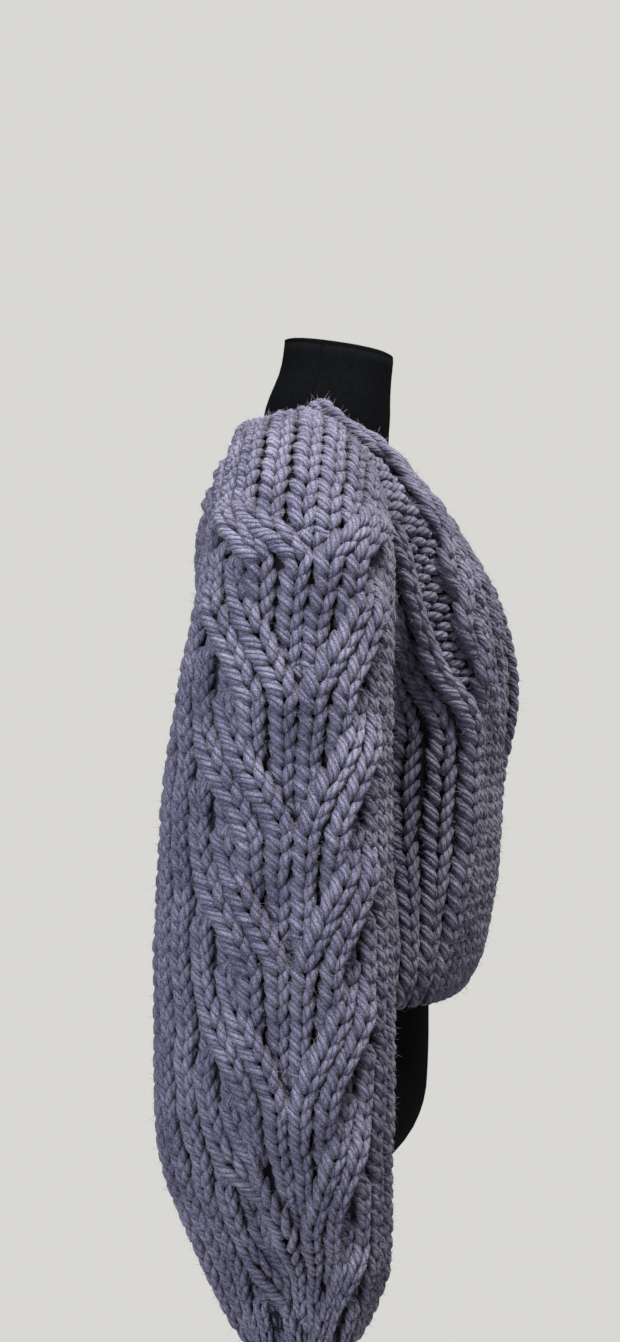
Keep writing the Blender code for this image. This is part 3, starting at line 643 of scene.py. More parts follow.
@dataclass
class Sleeve:
    """A hanging sleeve: rings from the armhole to the cuff.

    A ring lies in the plane through its outermost and innermost points along
    y, as a superellipse. Columns count from the middle of the cable towards the
    front.
    """

    mirror: bool
    swing: float

    def __post_init__(self) -> None:
        """Works out the fine grid once, gathers included."""
        self.table = SizeTable(SLEEVE_NAMES, SLEEVE_LEVELS)
        self.rings = np.linspace(0.0, SLEEVE_ROWS, SLEEVE_GRID[0])
        self.shares = np.arange(SLEEVE_GRID[1]) / SLEEVE_GRID[1]
        points, middle = self.grid(self.rings)
        normals = self.outward(points, middle)
        points = points - normals * self.gathers()[..., None]
        normals = self.outward(points, middle)
        self.lay_rows(points)
        self.surface = worn_surface(points, normals, True, self.mirror)

    @property
    def handed(self) -> float:
        """1 where columns count to the right as seen from outside."""
        return 1.0 if self.mirror else -1.0

    def lay_rows(self, points: Array) -> None:
        """Finds the ring of every row on every line of the sleeve.

        Rows are equally long on all sides and end together at the cuff, so a line
        that is shorter than the outermost one starts at a later row:
        first = 66 (1 - length / outer length).

        Args:
            points: Points of the sleeve by ring and share.
        """
        steps = np.linalg.norm(np.diff(points, axis=0), axis=2)
        length = np.concatenate([np.zeros((1, points.shape[1])), np.cumsum(steps, axis=0)])
        row_height = length[-1, 0] / SLEEVE_ROWS
        self.first = np.maximum(SLEEVE_ROWS - length[-1] / row_height, 0.0)
        self.first = self.first - self.first[0]
        scale = (SLEEVE_ROWS - self.first) / length[-1]
        self.ring_of_row = np.stack(
            [
                np.interp(self.rings, self.first[k] + length[:, k] * scale[k], self.rings)
                for k in range(points.shape[1])
            ],
            axis=1,
        )

    def grid(self, rings: Array) -> tuple[Array, Array]:
        """Points of the rings, superellipses shared out evenly, and their middles.

        Args:
            rings: The rings, counted in rows along the outermost line.

        Returns:
            Points by ring and share, and the middles.
        """
        read = {name: self.table.read(name, rings) for name in SLEEVE_NAMES[1:]}
        mid_y = read["y"] + self.swing * ease(*LEFT_SWING_ROWS, rings)
        outer = np.stack([read["out_x"], mid_y, read["out_z"]], axis=1)
        inner = np.stack([read["in_x"], mid_y, read["in_z"]], axis=1)
        middle = (outer + inner) / 2.0
        reach = (outer - inner) / 2.0
        angle = np.linspace(0.0, 2.0 * np.pi, RING_POINTS)
        power = ARMHOLE_POWER + (SLEEVE_POWER - ARMHOLE_POWER) * ease(0.0, 8.0, rings)
        lines = []
        for k in range(len(rings)):
            sine, cosine = super_pair(angle, power[k])
            ring = middle[k] + reach[k] * cosine[:, None]
            ring[:, 1] -= read["half"][k] * sine
            lines.append(even_shares(ring, self.shares))
        return np.stack(lines), middle

    def outward(self, grid: Array, middle: Array) -> Array:
        """Normals away from the ring's middle.

        Args:
            grid: Points by ring and share.
            middle: Middle of each ring.

        Returns:
            Unit normals.
        """
        wide = np.concatenate([grid[:, -1:], grid, grid[:, :1]], axis=1)
        normal = unit(np.cross(wide[:, 2:] - wide[:, :-2], np.gradient(grid, axis=0)))
        side = np.sign(np.sum(normal * (grid - middle[:, None]), axis=2, keepdims=True))
        return normal * side

    def gathers(self) -> Array:
        """Inward folds where the sleeve is drawn into its cuff.

        Even waves (1 - cos) / 2 round the ring, and one deep fold
        exp(-((share - place) / width)^2) behind the cable.

        Returns:
            Depth by ring and share.
        """
        rings, shares = self.rings, self.shares
        first, full, drawn = GATHER_ROWS
        grow = ease(first, full, rings) * (1.0 - GATHER_DRAWN * ease(drawn, SLEEVE_ROWS, rings))
        wave = 0.5 - 0.5 * np.cos(2.0 * np.pi * GATHER_FOLDS * (shares - CABLE_CENTRE))
        first, full, drawn = DEEP_FOLD_ROWS
        deep = ease(first, full, rings) * (1.0 - DEEP_FOLD_DRAWN * ease(drawn, SLEEVE_ROWS, rings))
        place = (shares - CABLE_CENTRE + DEEP_FOLD_SHARE + 0.5) % 1.0 - 0.5
        fold = DEEP_FOLD_DEPTH * deep[:, None] * bump(place / DEEP_FOLD_WIDTH)[None]
        return GATHER_DEPTH * grow[:, None] * wave[None] + fold

    def share_of(self, column: Array) -> Array:
        """Share of a ring at a column.

        The cable draws its columns in and the plain ones beside it lie wider, as
        the table of shares by distance from the cable's middle says.

        Args:
            column: Columns from the middle of the cable towards the front.

        Returns:
            Shares from 0 to 1.
        """
        half = SLEEVE_COLUMNS / 2.0
        signed = (column + half) % SLEEVE_COLUMNS - half
        away = np.interp(np.abs(signed), *zip(*COLUMN_SHARES))
        return (np.sign(signed) * away + CABLE_CENTRE) % 1.0

    def first_row(self, column: Array) -> Array:
        """Row at which a column leaves the armhole seam."""
        share = self.share_of(column)
        return np.interp(share, np.append(self.shares, 1.0), np.append(self.first, self.first[0]))

    def along_seam(self, row: Array, column: Array, legs: StitchSet) -> tuple[Array, Array, Array]:
        """Rows counted from the armhole seam, with the columns as they are."""
        return row + self.first_row(column), column, 0.0 * row

    def at(self, row: Array, column: Array) -> tuple[Array, Array]:
        """Point and normal of the surface at a row and column.

        Args:
            row: Rows from the head of the sleeve.
            column: Columns from the middle of the cable.

        Returns:
            Points and unit normals.
        """
        place = self.share_of(column) * len(self.shares)
        steps = (len(self.rings) - 1) / SLEEVE_ROWS
        ring = between(self.ring_of_row, row * steps, place, True)
        return self.surface.sample(ring * steps, place)


@dataclass
class Cuff:
    """A short ribbed tube under a sleeve."""

    mirror: bool
    swing: float

    def __post_init__(self) -> None:
        """Works out the fine grid once: ellipses that swell a little at the top."""
        _, out_x, _, in_x, _, y, half_y = SLEEVE_LEVELS[-1]
        self.down = np.linspace(0.0, 1.0, CUFF_GRID[0])
        angle = 2.0 * np.pi * np.arange(CUFF_GRID[1]) / CUFF_GRID[1]
        out = np.stack([np.cos(angle), -np.sin(angle), 0.0 * angle], axis=1)
        height, place, width = CUFF_SWELL
        swell = height * bump((self.down - place) / width)
        size = np.array([(out_x - in_x) / 2.0, half_y, 0.0])
        centre = np.zeros((len(self.down), 3))
        centre[:, 0] = (out_x + in_x) / 2.0
        centre[:, 1] = y + self.swing
        centre[:, 2] = CUFF_TOP_Z - SEAM_GAP - CUFF_LENGTH * self.down
        points = centre[:, None] + out[None] * (size + swell[:, None, None])
        normals = np.tile(out[None], (len(self.down), 1, 1))
        self.surface = worn_surface(points, normals, True, self.mirror)

    @property
    def handed(self) -> float:
        """1 where columns count to the right as seen from outside."""
        return 1.0 if self.mirror else -1.0

    def at(self, row: Array, column: Array) -> tuple[Array, Array]:
        """Point and normal of the surface at a row and column."""
        i = row / CUFF_ROWS * (len(self.down) - 1)
        return self.surface.sample(i, column / CUFF_COLUMNS * self.surface.points.shape[1])


def linear(code: str) -> tuple[float, float, float, float]:
    """An sRGB hex colour in linear light.

    A part v of it is v / 12.92 if it is dark, else ((v + 0.055) / 1.055)^2.4.

    Args:
        code: The colour, a hash sign and six digits.

    Returns:
        Red, green, blue and 1.
    """
    values = np.array([int(code[k : k + 2], 16) for k in (1, 3, 5)]) / 255.0
    light = np.where(values <= 0.04045, values / 12.92, ((values + 0.055) / 1.055) ** 2.4)
    return (float(light[0]), float(light[1]), float(light[2]), 1.0)


def shaded(code: str, shade: float) -> tuple[float, float, float, float]:
    """The linear colour of a hex code, darkened by the factor shade."""
    red, green, blue, _ = linear(code)
    return (red * shade, green * shade, blue * shade, 1.0)


def per_metre(size_mm: float) -> float:
    """Scale of a noise whose grains are size_mm wide."""
    return 1000.0 / size_mm


def add_node(
    tree: bpy.types.NodeTree, kind: str, inputs: dict[str | int, object], **settings: object
) -> bpy.types.Node:
    """Adds a node with its settings and links.

    Args:
        tree: The node tree.
        kind: The node's type name.
        inputs: Socket name or number to a value, or to (node, output name).
        settings: The node's own properties.

    Returns:
        The node.
    """
    node = tree.nodes.new(kind)
    for name, value in settings.items():
        setattr(node, name, value)
    for socket, value in inputs.items():
        if isinstance(value, tuple) and isinstance(value[0], bpy.types.Node):
            tree.links.new(value[0].outputs[value[1]], node.inputs[socket])
        else:
            node.inputs[socket].default_value = value
    return node


def new_material(name: str) -> tuple[bpy.types.Material, bpy.types.NodeTree, bpy.types.Node]:
    """A node material with a shader linked to its output.

    Args:
        name: Its name.

    Returns:
        The material, its tree and its shader.
    """
    material = bpy.data.materials.new(name)
    material.use_nodes = True
    tree = material.node_tree
    tree.nodes.clear()
    shader = add_node(tree, "ShaderNodeBsdfPrincipled", {})
    add_node(tree, "ShaderNodeOutputMaterial", {"Surface": (shader, "BSDF")})
    return material, tree, shader


@dataclass(frozen=True)
class HeatherWool:
    """Thick plied wool, spun from dyed and grey fibres, carded and felted a little.

    The eye gets a matt violet grey with lighter and warmer fibres, three round
    plies with painted shade in the grooves between them, painted shade on each
    leg's underside and ends, and a soft pale rim where loose fibres catch the
    light. The fibres are 0.03 mm thick, too fine to show, and are drawn as coarse as 1.1 mm.
    """

    dark: str = "#4b4a64"
    middle: str = "#7b7a94"
    light: str = "#a4a3bb"
    fleck: str = "#8d7581"
    rim: str = "#cfccd8"
    cloud_mm: float = 35.71       # stretches of lighter and darker wool
    fibre_mm: float = 1.111
    fleck_mm: float = 3.846
    ply_depth: float = 0.0011
    fibre_depth: float = 0.0005
    fibre_part: float = 0.62      # part of the fibres in the colour, the clouds have the rest
    ply_roundness: float = 0.55   # power of the plies' profile, less is rounder
    waver: float = 0.5            # how far the plies wander, in plies
    painted_groove_shade: tuple[float, float] = (0.56, 1.04)   # painted shade: brightness between the plies and on them
    strand: tuple[float, float] = (0.80, 1.26)   # brightness of single strands

    def make(self, name: str, shade: float = 1.0, plied: bool = True) -> bpy.types.Material:
        """Builds the material.

        Args:
            name: Its name.
            shade: Factor on the colours' brightness, below 1 for the painted shade of the ground in the
                gaps.
            plied: Whether the piece's UV map carries the plies.

        Returns:
            The material.
        """
        material, tree, shader = new_material(name)
        colour, fibre = self.colour(tree, shade)
        tree.links.new(colour.outputs[2], shader.inputs["Base Color"])
        shader.inputs["Roughness"].default_value = 0.92
        shader.inputs["Specular IOR Level"].default_value = 0.25
        shader.inputs["Sheen Weight"].default_value = 0.42
        shader.inputs["Sheen Roughness"].default_value = 0.45
        shader.inputs["Sheen Tint"].default_value = linear(self.rim)
        soft = add_node(
            tree,
            "ShaderNodeBump",
            {"Height": (fibre, "Fac"), "Distance": self.fibre_depth, "Strength": 0.8},
        )
        tree.links.new(soft.outputs[0], shader.inputs["Normal"])
        if plied:
            self.add_plies(tree, shader, colour, soft)
        return material

    def colour(self, tree: bpy.types.NodeTree, shade: float) -> tuple[bpy.types.Node, bpy.types.Node]:
        """Colour of the carded fibres: clouds and fibres on a ramp, with rare flecks.

        Args:
            tree: The material's tree.
            shade: Factor on the brightness, below 1 for painted shade.

        Returns:
            The node that mixes the colour, and the fibres' noise.
        """
        place = add_node(tree, "ShaderNodeTexCoord", {})
        cloud, fibre, spots = [
            add_node(
                tree,
                "ShaderNodeTexNoise",
                {"Vector": (place, "Object"), "Scale": per_metre(size), "Detail": detail},
            )
            for size, detail in ((self.cloud_mm, 3.0), (self.fibre_mm, 2.0), (self.fleck_mm, 1.0))
        ]
        clouds = add_node(
            tree, "ShaderNodeMath", {0: (cloud, "Fac"), 1: 1.0 - self.fibre_part}, operation="MULTIPLY"
        )
        mixed = add_node(
            tree,
            "ShaderNodeMath",
            {0: (fibre, "Fac"), 1: self.fibre_part, 2: (clouds, 0)},
            operation="MULTIPLY_ADD",
        )
        ramp = add_node(tree, "ShaderNodeValToRGB", {"Fac": (mixed, 0)})
        stops = ((0.36, self.dark), (0.50, self.middle), (0.64, self.light))
        while len(ramp.color_ramp.elements) < len(stops):
            ramp.color_ramp.elements.new(0.5)
        for element, (at, code) in zip(ramp.color_ramp.elements, stops):
            element.position = at
            element.color = shaded(code, shade)
        rare = add_node(
            tree,
            "ShaderNodeMapRange",
            {"Value": (spots, "Fac"), "From Min": 0.66, "From Max": 0.76, "To Min": 0.0, "To Max": 0.6},
        )
        colour = add_node(
            tree,
            "ShaderNodeMix",
            {0: (rare, "Result"), 6: (ramp, "Color"), 7: shaded(self.fleck, shade)},
            data_type="RGBA",
        )
        return colour, fibre

    def add_plies(
        self,
        tree: bpy.types.NodeTree,
        shader: bpy.types.Node,
        colour: bpy.types.Node,
        soft: bpy.types.Node,
    ) -> None:
        """Plies |sin(pi x)|^roundness along the UV map's x, with painted shade between them and on the legs'
        flanks.

        The map is measured in plies, so the noise of the single strands, seven
        to a ply, is as fine as the yarn needs.

        Args:
            tree: The material's tree.
            shader: Its shader.
            colour: The node that mixes the wool's colour.
            soft: The bump of the fibres.
        """
        along = add_node(tree, "ShaderNodeUVMap", {}, uv_map="ply")
        parts = add_node(tree, "ShaderNodeSeparateXYZ", {0: (along, "UV")})
        stretched = add_node(
            tree, "ShaderNodeVectorMath", {0: (along, "UV"), 1: (1.0, 0.15, 1.0)}, operation="MULTIPLY"
        )
        noise = add_node(tree, "ShaderNodeTexNoise", {"Vector": (stretched, 0), "Scale": 1.3, "Detail": 2.0})
        phase = add_node(
            tree,
            "ShaderNodeMath",
            {0: (noise, "Fac"), 1: self.waver, 2: (parts, "X")},
            operation="MULTIPLY_ADD",
        )
        plies = phase
        for step, value in (
            ("MULTIPLY", np.pi),
            ("SINE", 0.0),
            ("ABSOLUTE", 0.0),
            ("POWER", self.ply_roundness),
        ):
            plies = add_node(tree, "ShaderNodeMath", {0: (plies, 0), 1: value}, operation=step)
        bumped = add_node(
            tree,
            "ShaderNodeBump",
            {"Height": (plies, 0), "Distance": self.ply_depth, "Strength": 1.0, "Normal": (soft, 0)},
        )
        tree.links.new(bumped.outputs[0], shader.inputs["Normal"])
        low, high = self.painted_groove_shade
        painted_groove_shade = add_node(
            tree,
            "ShaderNodeMapRange",
            {"Value": (plies, 0), "From Min": 0.25, "From Max": 0.85, "To Min": low, "To Max": high},
        )
        combed = add_node(
            tree, "ShaderNodeVectorMath", {0: (along, "UV"), 1: (7.0, 0.55, 1.0)}, operation="MULTIPLY"
        )
        streak = add_node(tree, "ShaderNodeTexNoise", {"Vector": (combed, 0), "Scale": 1.0, "Detail": 2.0})
        low, high = self.strand
        strand = add_node(
            tree,
            "ShaderNodeMapRange",
            {"Value": (streak, "Fac"), "From Min": 0.3, "From Max": 0.7, "To Min": low, "To Max": high},
        )
        # Painted shade and light: the grooves between the plies and the attribute open darken or lighten the
        # colour; the single strands vary at random.
        painted_light_on_leg = add_node(tree, "ShaderNodeAttribute", {}, attribute_name="open")
        lit = add_node(
            tree, "ShaderNodeMath", {0: (painted_groove_shade, "Result"), 1: (strand, "Result")}, operation="MULTIPLY"
        )
        depth = add_node(tree, "ShaderNodeMath", {0: (lit, 0), 1: (painted_light_on_leg, "Fac")}, operation="MULTIPLY")
        final = add_node(
            tree,
            "ShaderNodeMix",
            {0: 1.0, 6: (colour, 2), 7: (depth, 0)},
            data_type="RGBA",
            blend_type="MULTIPLY",
        )
        tree.links.new(final.outputs[2], shader.inputs["Base Color"])


@dataclass(frozen=True)
class BlackJersey:
    """Cotton jersey stretched over the form: near black, matt, with a fine rib."""

    colour: str = "#07090c"
    lint: str = "#0e1014"
    lint_mm: float = 4.167
    rib_mm: float = 6.53          # its ribs of 0.9 mm are too fine to show and drawn this wide

    def make(self, name: str) -> bpy.types.Material:
        """Builds the material.

        Args:
            name: Its name.

        Returns:
            The material.
        """
        material, tree, shader = new_material(name)
        place = add_node(tree, "ShaderNodeTexCoord", {})
        lint = add_node(
            tree,
            "ShaderNodeTexNoise",
            {"Vector": (place, "Object"), "Scale": per_metre(self.lint_mm), "Detail": 3.0},
        )
        ramp = add_node(tree, "ShaderNodeValToRGB", {"Fac": (lint, "Fac")})
        for element, at, code in zip(ramp.color_ramp.elements, (0.35, 0.78), (self.colour, self.lint)):
            element.position = at
            element.color = linear(code)
        tree.links.new(ramp.outputs["Color"], shader.inputs["Base Color"])
        # A diagonal wave of scale 1 is 2 pi / (10 sqrt 3) metres long.
        scale = per_metre(self.rib_mm) * 2.0 * np.pi / (10.0 * np.sqrt(3.0))
        rib = add_node(
            tree,
            "ShaderNodeTexWave",
            {"Vector": (place, "Object"), "Scale": scale, "Distortion": 1.5},
            bands_direction="DIAGONAL",
        )
        bumped = add_node(
            tree, "ShaderNodeBump", {"Height": (rib, "Fac"), "Distance": 0.0002, "Strength": 0.5}
        )
        tree.links.new(bumped.outputs[0], shader.inputs["Normal"])
        shader.inputs["Roughness"].default_value = 0.95
        shader.inputs["Specular IOR Level"].default_value = 0.12
        return material


@dataclass(frozen=True)
class SatinBlackPaint:
    """Powder-coated steel: black satin with a faint orange-peel texture."""

    colour: str = "#1d1d1f"
    peel_mm: float = 1.4286

    def make(self, name: str) -> bpy.types.Material:
        """Builds the material.

        Args:
            name: Its name.

        Returns:
            The material.
        """
        material, tree, shader = new_material(name)
        place = add_node(tree, "ShaderNodeTexCoord", {})
        peel = add_node(
            tree,
            "ShaderNodeTexNoise",
            {"Vector": (place, "Object"), "Scale": per_metre(self.peel_mm), "Detail": 1.0},
        )
        bumped = add_node(
            tree, "ShaderNodeBump", {"Height": (peel, "Fac"), "Distance": 0.00008, "Strength": 0.6}
        )
        tree.links.new(bumped.outputs[0], shader.inputs["Normal"])
        shader.inputs["Base Color"].default_value = linear(self.colour)
        shader.inputs["Roughness"].default_value = 0.42
        return material


def mesh_object(
    name: str,
    points: Array,
    quads: Faces,
    triangles: Faces,
    material: bpy.types.Material,
    quad_uv: Array | None = None,
    triangle_uv: Array | None = None,
) -> bpy.types.Object:
    """Puts whole arrays of points and faces into a smooth mesh object.

    Args:
        name: Name of the object.
        points: Points, one per row.
        quads: Four point numbers per row.
        triangles: Three point numbers per row.
        material: Its finish.
        quad_uv: UV pairs of the quads' corners, or None.
        triangle_uv: UV pairs of the triangles' corners, or None.

    Returns:
        The object, at the origin.
    """
    mesh = bpy.data.meshes.new(name)
    mesh.vertices.add(len(points))
    mesh.vertices.foreach_set("co", np.ascontiguousarray(points, dtype=np.float32).ravel())
    corners = np.concatenate([quads.ravel(), triangles.ravel()]).astype(np.int32)
    mesh.loops.add(len(corners))
    mesh.loops.foreach_set("vertex_index", corners)
    starts = np.concatenate(
        [4 * np.arange(len(quads)), 4 * len(quads) + 3 * np.arange(len(triangles))]
    ).astype(np.int32)
    mesh.polygons.add(len(starts))
    mesh.polygons.foreach_set("loop_start", starts)
    mesh.polygons.foreach_set("use_smooth", np.ones(len(starts), dtype=bool))
    if quad_uv is not None and triangle_uv is not None:
        layer = mesh.uv_layers.new(name="ply")
        pairs = np.concatenate([quad_uv.reshape(-1, 2), triangle_uv.reshape(-1, 2)])
        layer.data.foreach_set("uv", pairs.astype(np.float32).ravel())
    mesh.update(calc_edges=True)
    mesh.validate()
    mesh.materials.append(material)
    thing = bpy.data.objects.new(name, mesh)
    bpy.context.scene.collection.objects.link(thing)
    return thing


def grid_quads(high: int, wide: int, closed: bool) -> Faces:
    """Quads of a grid of points numbered row by row.

    Args:
        high: Number of rows.
        wide: Points in a row.
        closed: Whether each row is a ring.

    Returns:
        Four point numbers for each quad.
    """
    links = wide if closed else wide - 1
    r, c = np.meshgrid(np.arange(high - 1), np.arange(links), indexing="ij")
    d = (c + 1) % wide
    quads = np.stack([r * wide + c, r * wide + d, (r + 1) * wide + d, (r + 1) * wide + c], axis=-1)
    return quads.reshape(-1, 4)


def tube_faces(rings: int, sides: int) -> tuple[Faces, Faces]:
    """Faces of a closed tube whose two end points are numbered after its rings.

    Args:
        rings: Number of rings.
        sides: Points in a ring.

    Returns:
        Quads between the rings, and triangles of both ends.
    """
    a = np.arange(sides)
    b = (a + 1) % sides
    last = (rings - 1) * sides
    foot = np.stack([b, a, np.full(sides, rings * sides)], axis=1)
    head = np.stack([a + last, b + last, np.full(sides, rings * sides + 1)], axis=1)
    return grid_quads(rings, sides, True), np.concatenate([foot, head])


def wall_mesh(
    name: str, outer: Array, inner: Array, closed: bool, material: bpy.types.Material
) -> bpy.types.Object:
    """Closed thin wall between two grids of the same size.

    Args:
        name: Name of the object.
        outer: Outer points, rows by columns.
        inner: Inner points.
        closed: Whether each row is a ring.
        material: Its finish.

    Returns:
        The object with outward faces.
    """
    high, wide = outer.shape[:2]
    points = np.concatenate([outer.reshape(-1, 3), inner.reshape(-1, 3)])
    shift = high * wide
    skin = grid_quads(high, wide, closed)
    quads = [skin, skin[:, ::-1] + shift]
    top = np.arange(wide if closed else wide - 1)
    after = (top + 1) % wide
    last = (high - 1) * wide
    quads.append(np.stack([after, top, top + shift, after + shift], axis=1))
    quads.append(np.stack([top + last, after + last, after + last + shift, top + last + shift], axis=1))
    if not closed:
        side = np.arange(high - 1) * wide
        quads.append(np.stack([side, side + wide, side + wide + shift, side + shift], axis=1))
        far = side + wide - 1
        quads.append(np.stack([far + wide, far, far + shift, far + wide + shift], axis=1))
    faces = np.concatenate(quads)
    a, b, c, d = [points[faces[:, k]] for k in range(4)]
    volume = np.sum(a * np.cross(b, c)) + np.sum(a * np.cross(c, d))
    if volume < 0.0:
        faces = faces[:, ::-1]
    return mesh_object(name, points, faces, NO_TRIANGLES, material)


class Direction(Enum):
    """Which way a leg runs on its piece."""

    COLUMN = 0
    ROW = 1


@dataclass(frozen=True)
class LegShape:
    """Shape of one piece of wool of a stitch, from its foot to its head.

    share is the place along it, size the part of its full half width, and
    height how far its middle stands above the surface, in metres. It runs from
    start over length, in rows or columns, and leans from foot over spread, more
    towards its head. half_width is a part of the column's width. A pitch is the
    distance between plies in metres, and a turn how they slant. The painted_light
    tuples are painted shade and light: factors on the wool's colour for how much
    light would reach it, from the underside to the top, and from the foot to the head.
    """

    share: tuple[float, ...] = (0.0, 0.08, 0.24, 0.44, 0.66, 0.87, 1.0)
    size: tuple[float, ...] = (0.0, 0.66, 0.95, 1.0, 0.95, 0.76, 0.0)
    height: tuple[float, ...] = (-0.0012, 0.0014, 0.0026, 0.0025, 0.0012, -0.0018, -0.0046)
    direction: Direction = Direction.COLUMN
    foot: float = 0.09
    spread: float = 0.335
    flare: float = 1.35
    start: float = -0.26
    length: float = 1.78
    half_width: float = 0.224
    thickness: float = 0.0041
    sides: int = 6
    length_pitch: float = 0.0078
    length_turn: float = -1.45
    round_pitch: float = 0.0042
    round_turn: float = -0.60
    painted_light_round: tuple[float, ...] = (0.15, 0.30, 0.82, 1.13)
    painted_light_along: tuple[float, ...] = (0.66, 1.0, 1.07, 0.96, 0.46)
    painted_light_end: float = 0.32

    @property
    def rings(self) -> int:
        """Rings between the two end points."""
        return len(self.share) - 2


LEG = LegShape()
BUMP = LegShape(
    share=(0.0, 0.10, 0.28, 0.50, 0.72, 0.90, 1.0),
    size=(0.0, 0.62, 0.94, 1.0, 0.94, 0.62, 0.0),
    height=(-0.0040, -0.0014, 0.0014, 0.0024, 0.0014, -0.0014, -0.0040),
    direction=Direction.ROW,
    foot=0.0,
    spread=0.0,
    flare=1.0,
    start=-0.60,
    length=1.20,
    half_width=0.27,
)
LegGroup = tuple[StitchSet, LegShape, Warp | None]


def faces_inwards(points: Array, quads: Faces) -> bool:
    """Whether the faces of a tube point inwards: sum of normal (corner - middle) < 0.

    Args:
        points: Points of the tube.
        quads: Its faces.

    Returns:
        True if they have to be turned over.
    """
    a, b, c = points[quads[:, 0]], points[quads[:, 1]], points[quads[:, 2]]
    return bool(np.sum(np.cross(b - a, c - a) * (a - points.mean(axis=0))) < 0.0)


